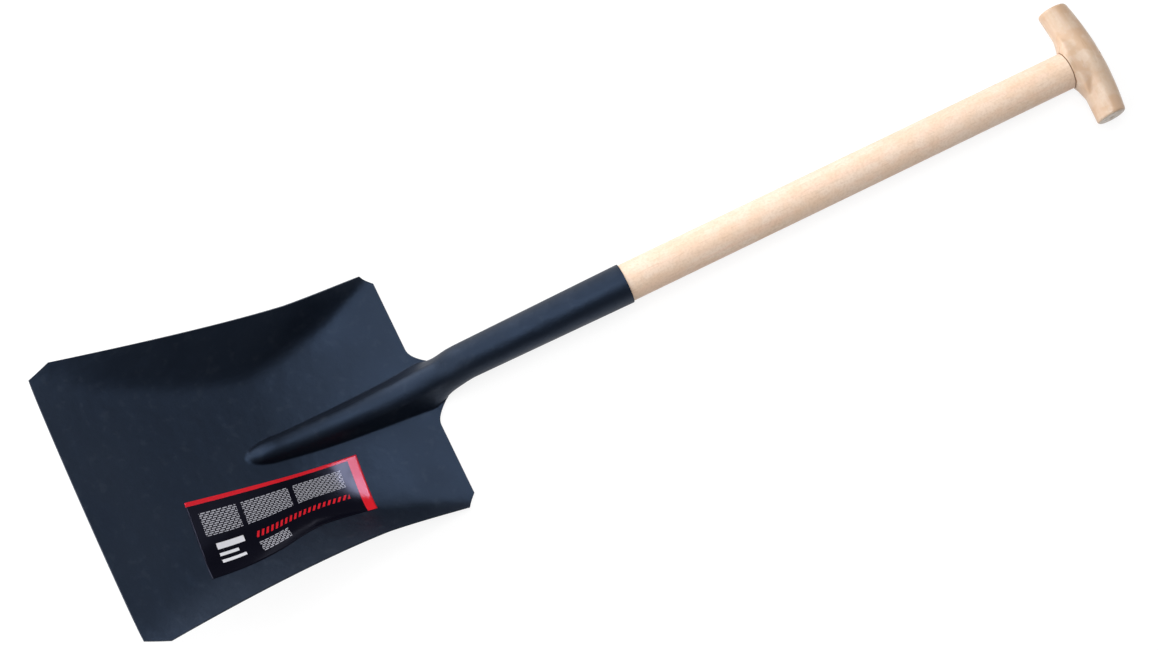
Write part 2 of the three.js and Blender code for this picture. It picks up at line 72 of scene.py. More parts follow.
def smooth_curve(t: float, start: float, start_slope: float, end: float, end_slope: float) -> float:
    """A smooth curve from one value to another.

    Args:
        t: Place along it, from 0 to 1.
        start: Its first value.
        start_slope: Its slope there, for the whole way.
        end: Its last value.
        end_slope: Its slope there, for the whole way.

    Returns:
        The curve's value at the place.
    """
    leaving = (start * (1 + 2 * t) + start_slope * t) * (1 - t) ** 2
    arriving = (end * (3 - 2 * t) + end_slope * (t - 1)) * t * t
    return leaving + arriving


def through_points(points: list[tuple[float, float]], place: float) -> float:
    """A smooth curve through points, straight on before the first and level after the last.

    Args:
        points: Pairs of place and value, in order.
        place: Where the curve is read.

    Returns:
        The curve's value at the place.
    """
    last = len(points) - 1

    def slope(i: int) -> float:
        """Returns the slope of the curve at one of its points."""
        before, after = points[max(i - 1, 0)], points[min(i + 1, last)]
        return (after[1] - before[1]) / (after[0] - before[0])

    if place <= points[0][0]:
        return points[0][1] + slope(0) * (place - points[0][0])
    if place >= points[last][0]:
        return points[last][1]
    i = next(k for k in range(last) if place <= points[k + 1][0])
    span = points[i + 1][0] - points[i][0]
    t = (place - points[i][0]) / span
    return smooth_curve(t, points[i][1], slope(i) * span, points[i + 1][1], slope(i + 1) * span)


def mesh_object(name: str, points: list[Vector], faces: list[tuple[int, ...]]) -> Piece:
    """Makes a smooth shaded mesh object from points and faces.

    Args:
        name: The piece's name.
        points: Its vertices in the row frame.
        faces: Its faces as rows of vertex numbers.

    Returns:
        The new object, linked to the scene.
    """
    mesh = bpy.data.meshes.new(name)
    mesh.from_pydata(points, [], faces)
    mesh.validate()
    mesh.shade_smooth()
    made = bpy.data.objects.new(name, mesh)
    bpy.context.scene.collection.objects.link(made)
    return made


def apply_modifiers(piece: Piece) -> None:
    """Replaces a piece's mesh by what its modifiers make of it.

    Args:
        piece: The object, which has no modifiers afterwards.
    """
    bpy.context.view_layer.update()
    shaped = piece.evaluated_get(bpy.context.evaluated_depsgraph_get())
    final = bpy.data.meshes.new_from_object(shaped)
    piece.modifiers.clear()
    piece.data = final
    piece.data.shade_smooth()


def cut(piece: Piece, tool: Piece) -> None:
    """Cuts one closed mesh out of another and deletes the cutting mesh.

    Args:
        piece: What is cut.
        tool: What is taken away.
    """
    subtraction = piece.modifiers.new("cut", "BOOLEAN")
    subtraction.operation = "DIFFERENCE"
    subtraction.solver = "EXACT"
    subtraction.object = tool
    apply_modifiers(piece)
    bpy.data.objects.remove(tool)


def round_edges(piece: Piece, width: float, sharper_than: float) -> None:
    """Rounds a piece's sharp edges and keeps its flat faces flat in the shading.

    Args:
        piece: The object.
        width: How far from the edge the rounding starts.
        sharper_than: Only edges that turn by more than this angle are rounded.
    """
    bevel = piece.modifiers.new("edges", "BEVEL")
    bevel.width = width
    bevel.segments = EDGE_STEPS
    bevel.limit_method = "ANGLE"
    bevel.angle_limit = sharper_than
    bevel.harden_normals = True


def tube_faces(rings: int, ring: int) -> list[tuple[int, ...]]:
    """Faces of a closed body made of rings of points, with a flat face at both ends.

    Args:
        rings: How many rings there are.
        ring: How many points each ring has.

    Returns:
        The faces, facing out when the points run round against the way of the rings.
    """
    faces: list[tuple[int, ...]] = []
    for r in range(rings - 1):
        for i in range(ring):
            a, b = r * ring + i, r * ring + (i + 1) % ring
            faces.append((a, b, b + ring, a + ring))
    faces.append(tuple(reversed(range(ring))))
    faces.append(tuple(range((rings - 1) * ring, rings * ring)))
    return faces


def circle(count: int) -> list[tuple[float, float]]:
    """Returns the cosines and sines of even steps round a circle."""
    return [(math.cos(2 * math.pi * i / count), math.sin(2 * math.pi * i / count)) for i in range(count)]


def grey(tone: float) -> Span:
    """Returns a grey as a colour socket takes it."""
    return (tone, tone, tone, 1.0)


@dataclass(frozen=True)
class Placement:
    """Where the drawing frame lies in the row frame."""

    origin: Vector
    turn: Matrix

    @classmethod
    def along_shaft(cls, shaft: Piece, tip: float, shoulder: float, reach: float) -> "Placement":
        """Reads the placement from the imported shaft, whose ends lie on the drawing frame's X axis.

        Args:
            shaft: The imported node.
            tip: Place of its tip along the drawing frame's X axis.
            shoulder: Place of its shoulder at the grip.
            reach: How near to either place a vertex counts as part of it.

        Returns:
            The placement.
        """
        points = [v.co.copy() for v in shaft.data.vertices]
        lowest = min(p.x for p in points)
        end = middle_of([p for p in points if p.x < lowest + reach])
        far = middle_of([p for p in points if abs((p - end).length - (shoulder - tip)) < reach])
        axis = (far - end).normalized()
        across = Vector((0, 1, 0))
        out = axis.cross(across).normalized()
        turn = Matrix((axis, across, out)).transposed()
        return cls(end - axis * tip, turn)

    def point(self, x: float, y: float, z: float) -> Vector:
        """Returns a point of the drawing frame in the row frame."""
        return self.origin + self.turn @ Vector((x, y, z))

    def drawn(self, point: Vector) -> Vector:
        """Returns a point of the row frame in the drawing frame."""
        return self.turn.transposed() @ (point - self.origin)


def middle_of(points: list[Vector]) -> Vector:
    """Finds the middle of the box round some points.

    Args:
        points: The points.

    Returns:
        The box's middle.
    """
    low = Vector(min(p[i] for p in points) for i in range(3))
    high = Vector(max(p[i] for p in points) for i in range(3))
    return (low + high) / 2


class Grain(Enum):
    """Which way the wood's fibres run, as the shares by which noise is stretched along each axis."""

    ALONG_SHAFT = (1.0, 14.0, 14.0)
    ALONG_GRIP = (14.0, 1.0, 14.0)


class NodeBook:
    """One material's node tree, with short calls that add nodes and wire them."""

    # The sockets of the Mix node that take and give colours: share, first, second, and result.
    MIX_INPUTS = (0, 6, 7)
    MIX_RESULT = 2

    def __init__(self, name: str) -> None:
        """Starts an empty material.

        Args:
            name: The material's name.
        """
        self.material = bpy.data.materials.new(name)
        self.material.use_nodes = True
        self.tree = self.material.node_tree
        self.tree.nodes.clear()

    def add(self, kind: str, inputs: dict[str | int, object] | None = None, **settings: object) -> Node:
        """Adds a node.

        Args:
            kind: The node type's name after ShaderNode.
            inputs: Values or sockets for its inputs, by name or number.
            settings: Properties of the node itself.

        Returns:
            The new node.
        """
        node = self.tree.nodes.new("ShaderNode" + kind)
        for key, value in settings.items():
            setattr(node, key, value)
        for key, value in (inputs or {}).items():
            if isinstance(value, Socket):
                self.tree.links.new(value, node.inputs[key])
            else:
                node.inputs[key].default_value = value
        return node

    def math(self, operation: str, *values: object) -> Socket:
        """Adds a math node and returns its result."""
        return self.add("Math", dict(enumerate(values)), operation=operation).outputs[0]

    def span(self, value: Socket, ends: Span) -> Socket:
        """Maps a value smoothly from one range to another.

        Args:
            value: What is mapped.
            ends: Where the range starts and ends, and the results at both.

        Returns:
            The mapped value.
        """
        inputs = {0: value, **dict(enumerate(ends, 1))}
        return self.add("MapRange", inputs, interpolation_type="SMOOTHSTEP").outputs[0]

    def blend(self, share: object, first: object, second: object) -> Socket:
        """Mixes two colours.

        Args:
            share: How much of the second colour shows.
            first: The colour at share 0.
            second: The colour at share 1.

        Returns:
            The mixed colour.
        """
        node = self.add("Mix", data_type="RGBA")
        for number, value in zip(self.MIX_INPUTS, (share, first, second)):
            if isinstance(value, Socket):
                self.tree.links.new(value, node.inputs[number])
            elif isinstance(value, tuple):
                node.inputs[number].default_value = (*value, 1.0)
            else:
                node.inputs[number].default_value = value
        return node.outputs[self.MIX_RESULT]

    def bump(self, height: Socket, distance: float, strength: float = 1.0,
             under: Socket | None = None) -> Socket:
        """Adds a bump.

        Args:
            height: What raises the surface.
            distance: How high it does so, in metres.
            strength: How much of it shows.
            under: Another bump that this one lies on.

        Returns:
            The bumped normal.
        """
        inputs = {"Height": height, "Distance": distance, "Strength": strength}
        if under is not None:
            inputs["Normal"] = under
        return self.add("Bump", inputs).outputs[0]

    def drawing_frame(self, place: Placement) -> Socket:
        """Coordinates in the shovel's drawing frame, in metres.

        Args:
            place: Where that frame lies.

        Returns:
            The coordinates.
        """
        back = place.turn.transposed()
        mapping = self.add("Mapping", {"Vector": self.add("TexCoord").outputs["Object"]})
        mapping.inputs["Rotation"].default_value = back.to_euler()
        mapping.inputs["Location"].default_value = -(back @ place.origin)
        return mapping.outputs[0]

    def stretched(self, where: Socket, shares: Triple) -> Socket:
        """Returns coordinates scaled by one factor for each axis."""
        return self.add("Mapping", {"Vector": where, "Scale": shares}).outputs[0]

    def finish(self, sockets: dict[str, object]) -> bpy.types.Material:
        """Ends the tree in one principled shader.

        Args:
            sockets: Values or sockets for the shader's own inputs.

        Returns:
            The material.
        """
        shader = self.add("BsdfPrincipled", sockets)
        self.add("OutputMaterial", {"Surface": shader.outputs[0]})
        return self.material


@dataclass(frozen=True)
class Layer:
    """One layer of noise: its waves a metre, how many finer ones it has, and how its values are mapped."""

    scale: float
    detail: float
    ends: Span = (0.0, 1.0, 0.0, 1.0)

    def noise(self, book: NodeBook, where: Socket) -> Socket:
        """Returns the plain noise, a value about one half."""
        return book.add("TexNoise", {"Vector": where, "Scale": self.scale, "Detail": self.detail}).outputs[0]

    def draw(self, book: NodeBook, where: Socket) -> Socket:
        """Returns the noise with its values mapped."""
        return book.span(self.noise(book, where), self.ends)


@dataclass(frozen=True)
class SatinPaint:
    """Blue black satin paint with a faint orange peel, thin clouds, scuffs and shallow dents."""

    name: str
    place: Placement
    body: Colour = (0.0013, 0.0018, 0.0036)
    thin: Colour = (0.0030, 0.0035, 0.0048)
    scuff: Colour = (0.016, 0.018, 0.021)
    sheen: Colour = (0.275, 0.41, 0.68)
    ior: float = 1.75
    roughness: float = 0.54
    roughness_spread: float = 0.05
    roughness_range: tuple[float, float] = (0.55, 0.95)
    clouds: Layer = Layer(14.0, 5.0, (0.40, 0.66, 0.0, 0.75))
    peel: Layer = Layer(620.0, 3.0, (0.3, 0.7, 0.7, 1.0))
    scuffs: Layer = Layer(95.0, 6.0, (0.56, 0.72, 0.0, 0.32))
    grit: Layer = Layer(1860.0, 2.0)
    grit_share: float = 0.5
    dents: Layer = Layer(48.0, 4.0)
    dent_depth: float = 0.0011
    peel_height: float = 0.00002
    peel_strength: float = 0.35

    def material(self) -> bpy.types.Material:
        """Makes the paint.

        Returns:
            The paint as a material.
        """
        book = NodeBook(self.name)
        where = book.drawing_frame(self.place)
        cloud, peel = self.clouds.noise(book, where), self.peel.noise(book, where)
        thin = book.math("MULTIPLY", book.span(cloud, self.clouds.ends), book.span(peel, self.peel.ends))
        colour = book.blend(thin, self.body, self.thin)
        grit = book.math("MULTIPLY", self.grit.noise(book, where), self.grit_share)
        low, high = self.roughness - self.roughness_spread, self.roughness + self.roughness_spread
        dented = book.bump(self.dents.noise(book, where), self.dent_depth)
        return book.finish({
            "Base Color": book.blend(self.scuffs.draw(book, where), colour, self.scuff),
            "Roughness": book.span(book.math("ADD", cloud, grit), (*self.roughness_range, low, high)),
            "Normal": book.bump(peel, self.peel_height, self.peel_strength, dented),
            "IOR": self.ior,
            "Specular Tint": (*self.sheen, 1.0),
        })


@dataclass(frozen=True)
class Beech:
    """Sanded beech: streaks, blotches, short flecks, growth bands and a glue line at the grip."""

    name: str
    place: Placement
    grain: Grain
    pale: Colour = (0.835, 0.665, 0.54)
    warm: Colour = (0.79, 0.59, 0.44)
    blush: Colour = (0.82, 0.60, 0.47)
    blotch: Colour = (0.78, 0.53, 0.36)
    fleck: Colour = (0.58, 0.39, 0.25)
    glue: Colour = (0.26, 0.12, 0.05)
    end_grain: Colour = (0.50, 0.44, 0.37)
    ior: float = 1.45
    streaks: Layer = Layer(9.0, 6.0, (0.40, 0.62, 0.0, 0.8))
    clouds: Layer = Layer(19.8, 3.0, (0.35, 0.65, 0.45, 1.0))
    blushes: Layer = Layer(24.0, 4.0, (0.46, 0.66, 0.0, 0.8))
    blush_stretch: Triple = (0.45, 0.45, 0.45)
    blotches: Layer = Layer(60.0, 3.0, (0.42, 0.60, 0.0, 0.35))
    speckles: Layer = Layer(420.0, 3.0, (0.42, 0.66, 0.0, 0.26))
    flecks: Layer = Layer(70.0, 2.0, (0.60, 0.70, 0.0, 0.34))
    band_scale: float = 6.8
    band_wander: float = 2.2
    band_detail: float = 3.0
    band_detail_scale: float = 1.4
    band_ends: Span = (0.35, 1.0, 0.0, 0.25)
    gloss: Layer = Layer(9.0, 6.0, (0.3, 0.7, 0.46, 0.58))
    pore_depth: float = 0.00008
    pore_strength: float = 0.3
    seed_shift: float = 0.0
    joint: float = 0.488
    joint_wander: Layer = Layer(160.0, 2.0, (0.3, 0.7, -0.0003, 0.0003))
    joint_stain: Span = (0.00018, 0.0009, 0.85, 0.0)
    end_at: float = 1.0
    end_fade: Span = (0.0, 0.0008, 0.0, 1.0)
    end_pores: Layer = Layer(840.0, 2.0, (0.35, 0.65, 0.45, 0.85))

    def figure(self, book: NodeBook, where: Socket, fibres: Socket) -> Socket:
        """Draws the wood's own colours.

        Args:
            book: The material that is drawn.
            where: Coordinates in the drawing frame.
            fibres: The same, drawn out along the fibres.

        Returns:
            The colour.
        """
        wave = {"Vector": fibres, "Scale": self.band_scale, "Distortion": self.band_wander,
                "Detail": self.band_detail, "Detail Scale": self.band_detail_scale}
        bands = book.add("TexWave", wave, bands_direction="Z").outputs["Fac"]
        tone = book.math("ADD", self.streaks.draw(book, fibres), book.span(bands, self.band_ends))
        tone = book.math("MULTIPLY", tone, self.clouds.draw(book, where))
        colour = book.blend(tone, self.pale, self.warm)
        long_fibres = book.stretched(fibres, self.blush_stretch)
        marks = (
            (self.blushes, long_fibres, self.blush),
            (self.blotches, where, self.blotch),
            (self.speckles, where, self.fleck),
            (self.flecks, fibres, self.fleck),
        )
        for layer, coordinates, shade in marks:
            colour = book.blend(layer.draw(book, coordinates), colour, shade)
        return colour

    def material(self) -> bpy.types.Material:
        """Makes the wood, with the stained joint at the grip and the pale end grain.

        Returns:
            The wood as a material.
        """
        book = NodeBook(self.name)
        where = book.drawing_frame(self.place)
        moved = book.add("VectorMath", {0: where, 1: (self.seed_shift,) * 3}, operation="ADD").outputs[0]
        fibres = book.stretched(moved, self.grain.value)
        split = book.add("SeparateXYZ", {0: where})
        wander = self.joint_wander.draw(book, where)
        off = book.math("ADD", book.math("SUBTRACT", split.outputs[0], self.joint), wander)
        stain = book.span(book.math("ABSOLUTE", off), self.joint_stain)
        colour = book.blend(stain, self.figure(book, where, fibres), self.glue)
        past = book.math("SUBTRACT", book.math("ABSOLUTE", split.outputs[1]), self.end_at)
        cut_end = book.math("MULTIPLY", book.span(past, self.end_fade), self.end_pores.draw(book, where))
        return book.finish({
            "Base Color": book.blend(cut_end, colour, self.end_grain),
            "Roughness": self.gloss.draw(book, fibres),
            "Normal": book.bump(self.flecks.noise(book, fibres), self.pore_depth, self.pore_strength),
            "IOR": self.ior,
        })


@dataclass(frozen=True)
class PrintedFilm:
    """Glossy near black film with a generic print: red edges, stripes, plain bars and fields of dashes."""

    name: str
    ground: Colour = (0.0025, 0.0025, 0.0055)
    sheen: Colour = (0.62, 0.66, 1.0)
    red: Colour = (0.56, 0.012, 0.020)
    white: Colour = (0.62, 0.62, 0.66)
    grey: Colour = (0.34, 0.34, 0.38)
    ior: float = 1.36
    dash_fields: tuple[Span, ...] = (
        (0.055, 0.27, 0.16, 0.47),
        (0.30, 0.58, 0.16, 0.47),
        (0.61, 0.89, 0.16, 0.47),
        (0.32, 0.50, 0.75, 0.90),
    )
    dash_rows: float = 38.0
    dashes_a_row: float = 31.0
    row_shift: float = 0.37
    dash_gap: float = 0.22
    row_gap: float = 0.44
    bars: tuple[Span, ...] = ((0.09, 0.25, 0.58, 0.66), (0.09, 0.20, 0.71, 0.75), (0.09, 0.23, 0.80, 0.84))
    stripe_field: Span = (0.32, 0.89, 0.60, 0.68)
    stripe_count: float = 34.0
    stripe_slant: float = 7.0
    stripe_gap: float = 0.5
    red_edges: tuple[Span, ...] = ((0.0, 1.0, 0.0, 0.055), (0.945, 1.0, 0.0, 1.0))
    waves: Layer = Layer(45.0, 2.0, (0.3, 0.7, 0.12, 0.18))
    wave_height: float = 0.0002
    wave_strength: float = 0.2

    def box(self, book: NodeBook, u: Socket, v: Socket, spans: Span) -> Socket:
        """A mask that is 1 inside a box.

        Args:
            book: The material that is drawn.
            u: Place along the label, from its front end, 0, to its rear end, 1.
            v: Place across it, from its inner edge, 0, to its outer edge, 1.
            spans: The box's start and end along, then across.

        Returns:
            The mask.
        """
        mask = book.math("GREATER_THAN", u, spans[0])
        limits = (("LESS_THAN", u, spans[1]), ("GREATER_THAN", v, spans[2]), ("LESS_THAN", v, spans[3]))
        for test, place, limit in limits:
            mask = book.math("MULTIPLY", mask, book.math(test, place, limit))
        return mask

    def dashes(self, book: NodeBook, u: Socket, v: Socket) -> Socket:
        """A mask of fine dashes in rows, each row shifted against the last.

        Args:
            book: The material that is drawn.
            u: Place along the label.
            v: Place across it.

        Returns:
            The mask.
        """
        rows = book.math("MULTIPLY", v, self.dash_rows)
        shift = book.math("MULTIPLY", book.math("FLOOR", rows), self.row_shift)
        places = book.math("ADD", book.math("MULTIPLY", u, self.dashes_a_row), shift)
        dash = book.math("GREATER_THAN", book.math("FRACT", places), self.dash_gap)
        return book.math("MULTIPLY", dash, book.math("GREATER_THAN", book.math("FRACT", rows), self.row_gap))

    def stripes(self, book: NodeBook, u: Socket, v: Socket) -> Socket:
        """A mask of slanted stripes.

        Args:
            book: The material that is drawn.
            u: Place along the label.
            v: Place across it.

        Returns:
            The mask.
        """
        along = book.math("MULTIPLY", u, self.stripe_count)
        slant = book.math("ADD", along, book.math("MULTIPLY", v, self.stripe_slant))
        return book.math("GREATER_THAN", book.math("FRACT", slant), self.stripe_gap)

    def material(self) -> bpy.types.Material:
        """Makes the film with its print.

        Returns:
            The film as a material.
        """
        book = NodeBook(self.name)
        split = book.add("SeparateXYZ", {0: book.add("UVMap").outputs[0]})
        u, v = split.outputs[0], split.outputs[1]
        fields = self.box(book, u, v, self.dash_fields[0])
        for spans in self.dash_fields[1:]:
            fields = book.math("MAXIMUM", fields, self.box(book, u, v, spans))
        colour = book.blend(book.math("MULTIPLY", self.dashes(book, u, v), fields), self.ground, self.grey)
        for spans in self.bars:
            colour = book.blend(self.box(book, u, v, spans), colour, self.white)
        striped = book.math("MULTIPLY", self.stripes(book, u, v), self.box(book, u, v, self.stripe_field))
        colour = book.blend(striped, colour, self.red)
        for spans in self.red_edges:
            colour = book.blend(self.box(book, u, v, spans), colour, self.red)
        wave = self.waves.noise(book, book.add("TexCoord").outputs["Object"])
        return book.finish({
            "Base Color": colour,
            "Roughness": book.span(wave, self.waves.ends),
            "Normal": book.bump(wave, self.wave_height, self.wave_strength),
            "IOR": self.ior,
            "Specular Tint": (*self.sheen, 1.0),
        })


@dataclass
class Blade:
    """The pressed sheet: pan, turned up sides, rib, neck and rolled socket."""

    place: Placement
    sheet: float = 0.0018
    socket_mouth_radius: float = 0.0204
    socket_neck_radius: float = 0.0185
    socket_closed_length: float = 0.170
    neck_swell: float = 0.002
    seam_gap: float = 0.0009
    rear_setback: float = 0.2206
    rear_drop: float = 0.0252
    lift: float = math.radians(25.5)
    length: float = 0.356
    mouth_width: float = 0.2898
    waist_width: float = 0.2436
    rear_width: float = 0.2576
    waist_share: float = 0.28
    mouth_flare_share: float = 1.6
    rear_flare_share: float = 1.3
    mouth_bow: float = 0.0014
    corner_cut_width: float = 0.0125
    mouth_corner_cut: float = 0.022
    rear_corner_cut: float = 0.011
    shoulder_radius: float = 0.015
    depth: float = 0.036
    deepest_share: float = 0.405
    mouth_dish: float = 0.005
    side_arch: float = 0.0065
    fold_waist_width: float = 0.154
    fold_waist_share: float = 0.43
    fold_rear_spread_share: float = 1.4
    fold_mouth_spread_share: float = 1.55
    mouth_wall_run: float = 0.016
    rear_wall_run: float = 0.002
    fold_rear_softness: float = 0.007
    fold_mouth_softness: float = 0.015
    floor_rise_share: float = 1.4
    strip_width: float = 0.054
    rib_length_share: float = 0.52
    rib_nose_share: float = 0.2
    rib_flank: float = math.radians(66)
    rib_top_share: float = 0.84
    rib_heights: tuple[float, ...] = (0.0345, 0.0275, 0.0195, 0.014)
    rib_widths: tuple[float, ...] = (0.051, 0.0455, 0.0345, 0.0275)
    rib_shoulder_share: float = 0.08
    rib_middle_share: float = 0.3
    edge_round: float = 0.0005
    pan_rows: int = 150
    neck_rows: int = 30
    socket_rows: int = 48
    rib_columns: int = 28
    shoulder_columns: int = 10
    wing_columns: int = 44
    corner_columns: int = 6

    def __post_init__(self) -> None:
        """Works out the sizes that follow from the others."""
        self.half_strip = self.strip_width / 2
        self.neck_run = (self.rear_setback - self.socket_closed_length) * math.cos(self.lift)

    def pan_point(self, along: float, across: float, up: float) -> Vector:
        """A point of the pan's own frame in the drawing frame.

        Args:
            along: Distance from the rear edge towards the mouth.
            across: Distance from the middle.
            up: Distance out of the hollow.

        Returns:
            The point.
        """
        x = -self.rear_setback - along * math.cos(self.lift) + up * math.sin(self.lift)
        z = -self.rear_drop + along * math.sin(self.lift) + up * math.cos(self.lift)
        return Vector((x, across, z))

    def half_width(self, along: float) -> float:
        """Half the pan's width, which is narrowest at the waist.

        Args:
            along: Distance from the rear edge.

        Returns:
            The distance from the middle to the side.
        """
        waist = self.waist_share * self.length
        if along > waist:
            share = (along - waist) / (self.length - waist)
            return lerp(self.waist_width, self.mouth_width, share**self.mouth_flare_share) / 2
        share = min((waist - along) / waist, 1.0)
        return lerp(self.waist_width, self.rear_width, share**self.rear_flare_share) / 2

    def floor_half_width(self, along: float) -> float:
        """Half the width of the floor between the folds of the two sides.

        Args:
            along: Distance from the rear edge.

        Returns:
            The distance from the middle to the fold.
        """
        waist = self.fold_waist_share * self.length
        if along > waist:
            share = (along - waist) / (self.length - waist)
            mouth = self.mouth_width / 2 - self.mouth_wall_run
            return lerp(self.fold_waist_width / 2, mouth, share**self.fold_mouth_spread_share)
        share = min((waist - along) / waist, 1.0)
        rear = self.rear_width / 2 - self.rear_wall_run
        return lerp(self.fold_waist_width / 2, rear, share**self.fold_rear_spread_share)

    def floor_depth(self, along: float) -> float:
        """How far the floor lies under the line from the rear edge to the mouth.

        Args:
            along: Distance from the rear edge, less than 0 behind it.

        Returns:
            The depth.
        """
        deepest = self.deepest_share * self.length
        if along < 0:
            return 2 * self.depth * along / deepest
        if along < deepest:
            return self.depth * (1 - (1 - along / deepest) ** 2)
        share = (along - deepest) / (self.length - deepest)
        return self.mouth_dish + (self.depth - self.mouth_dish) * (1 - share**self.floor_rise_share)

    def pan_height(self, along: float, across: float) -> float:
        """Height of the pan without its rib: a floor, a soft fold and a rising side.

        Args:
            along: Distance from the rear edge.
            across: Distance from the middle.

        Returns:
            The height out of the line from the rear edge to the mouth.
        """
        depth = self.floor_depth(along)
        if along <= 0:
            return -depth
        t = min(along / self.length, 1.0)
        arch = 4 * self.side_arch * t * (1 - t)
        fold = self.floor_half_width(along)
        softness = lerp(self.fold_rear_softness, self.fold_mouth_softness, t)
        run, whole_run = abs(across) - fold, self.half_width(along) - fold
        rise = (math.hypot(run, softness) + run) / (math.hypot(whole_run, softness) + whole_run)
        return -depth + (depth + arch) * rise

    def rib_size(self, along: float) -> tuple[float, float]:
        """Height and half width of the rib, which falls to nothing at its round nose.

        Args:
            along: Distance from the rear edge.

        Returns:
            The height and the half width.
        """
        nose_start = (self.rib_length_share - self.rib_nose_share / 2) * self.length
        nose_end = self.rib_length_share * self.length
        shoulder, middle = self.rib_shoulder_share * self.length, self.rib_middle_share * self.length
        places = (0.0, shoulder, middle, nose_start)
        past = min(max((along - nose_start) / (nose_end - nose_start), 0.0), 1.0)
        place = max(along, -self.socket_closed_length)
        height = through_points(list(zip(places, self.rib_heights)), place) * (1 - past * past)
        width = through_points(list(zip(places, self.rib_widths)), max(place, 0.0))
        return height, width / 2 * math.sqrt(1 - past * past)

    def rib_section(self, along: float, share: float) -> tuple[float, float]:
        """The rib's half section: round top, flank, foot fillet and flat.

        Args:
            along: Distance from the rear edge.
            share: Place along the section, from the crest, 0, to the strip's edge, 1.

        Returns:
            The distance across and the height.
        """
        height, half = self.rib_size(along)
        if height <= 0 or half <= 0:
            return self.half_strip * share, 0.0
        round_turn = 2 * math.atan2(height, half)
        turn = min(self.rib_flank, round_turn)
        rounds = half / math.sin(turn)
        if round_turn >= self.rib_flank:
            rounds = (half * math.tan(turn) - height) / (1 / math.cos(turn) - 1)
        top = rounds * self.rib_top_share
        foot = rounds - top
        flank = max((half - rounds * math.sin(turn)) / math.cos(turn), 0.0)
        place = share * (top * turn + flank + foot * turn + self.half_strip - half)
        if place < top * turn:
            angle = place / top
            return top * math.sin(angle), height - top * (1 - math.cos(angle))
        past_top = place - top * turn
        if past_top < flank:
            across = top * math.sin(turn) + past_top * math.cos(turn)
            return across, height - top * (1 - math.cos(turn)) - past_top * math.sin(turn)
        past_flank = past_top - flank
        if past_flank < foot * turn:
            angle = turn - past_flank / foot
            return half - foot * math.sin(angle), foot * (1 - math.cos(angle))
        return half + past_flank - foot * turn, 0.0

    def socket_radius(self, x: float) -> float:
        """Returns the socket's outer radius at a place along the shaft's axis."""
        share = min(max(-x / self.socket_closed_length, 0.0), 1.0)
        return lerp(self.socket_mouth_radius, self.socket_neck_radius, share)

    def socket_point(self, x: float, side: float, share: float) -> Vector:
        """A point of the rolled socket.

        Args:
            x: Place along the shaft's axis.
            side: 1 or -1 for the two halves.
            share: Place round it, from the crest, 0, to the edge at the seam on its back, 1.

        Returns:
            The point in the middle of the sheet.
        """
        radius = self.socket_radius(x) - self.sheet / 2
        angle = share * (math.pi - self.seam_gap / 2 / radius)
        return Vector((x, side * radius * math.sin(angle), radius * math.cos(angle)))

    def neck_x(self, along: float) -> float:
        """Returns where the rolled sheet lies along the shaft at a place behind the rear edge."""
        return lerp(-self.rear_setback, -self.socket_closed_length, -along / self.neck_run)

    def mixed_strip(self, along: float, side: float, share: float) -> Vector:
        """The strip's plain mix of rib and socket.

        Args:
            along: Distance from the rear edge, less than 0 in the neck.
            side: 1 or -1 for the two halves.
            share: Place across the strip.

        Returns:
            The point in the middle of the sheet.
        """
        across, height = self.rib_section(along, share)
        across *= side
        opened = self.pan_point(along, across, self.pan_height(along, across) + height)
        if along >= 0:
            return opened
        return opened.lerp(self.socket_point(self.neck_x(along), side, share), ease(-along / self.neck_run))

    def neck_crest(self, x: float) -> float:
        """Height of the crest in the neck, in line with the rib at one end and with the socket at the other.

        Args:
            x: Place along the shaft's axis.

        Returns:
            The height over the axis.
        """
        rib = self.pan_point(0.0, 0.0, self.rib_heights[0])
        span = -self.socket_closed_length - rib.x
        fall = (self.rib_heights[1] - self.rib_heights[0]) / (self.rib_shoulder_share * self.length)
        climb = fall - 2 * self.depth / (self.deepest_share * self.length)
        rib_slope = -math.tan(math.atan(climb) + self.lift)
        socket_slope = (self.socket_mouth_radius - self.socket_neck_radius) / self.socket_closed_length
        top = self.socket_neck_radius - self.sheet / 2
        return smooth_curve((x - rib.x) / span, rib.z, rib_slope * span, top, socket_slope * span)

    def strip_point(self, along: float, side: float, share: float) -> Vector:
        """A point of the middle strip, which is the rib in the pan and rolls up into the socket behind it.

        Args:
            along: Distance from the rear edge, less than 0 in the neck.
            side: 1 or -1 for the two halves.
            share: Place across the strip.

        Returns:
            The point in the middle of the sheet.
        """
        mixed = self.mixed_strip(along, side, share)
        if along >= 0:
            return mixed
        closed = ease(-along / self.neck_run)
        crest = self.mixed_strip(along, side, 0.0)
        away = Vector((0, mixed.y, mixed.z)).normalized()
        mixed += away * (self.neck_swell * 4 * closed * (1 - closed) * 3 * share * (1 - share))
        mixed.z += (self.neck_crest(crest.x) - crest.z) * (1 - share * share) ** 2
        return mixed

    def wing_point(self, along: float, side: float, across: float) -> Vector:
        """A point of the pan beside the strip.

        Args:
            along: Distance from the rear edge, less than 0 in the shoulder.
            side: 1 or -1 for the two halves.
            across: Distance from the middle.

        Returns:
            The point in the middle of the sheet.
        """
        opened = self.pan_point(along, side * across, self.pan_height(along, across))
        if along >= 0:
            return opened
        x = self.neck_x(along)
        low = self.sheet / 2 - self.socket_radius(x)
        rolled = Vector((x, side * (across - self.half_strip), low))
        return opened.lerp(rolled, ease(-along / self.neck_run))

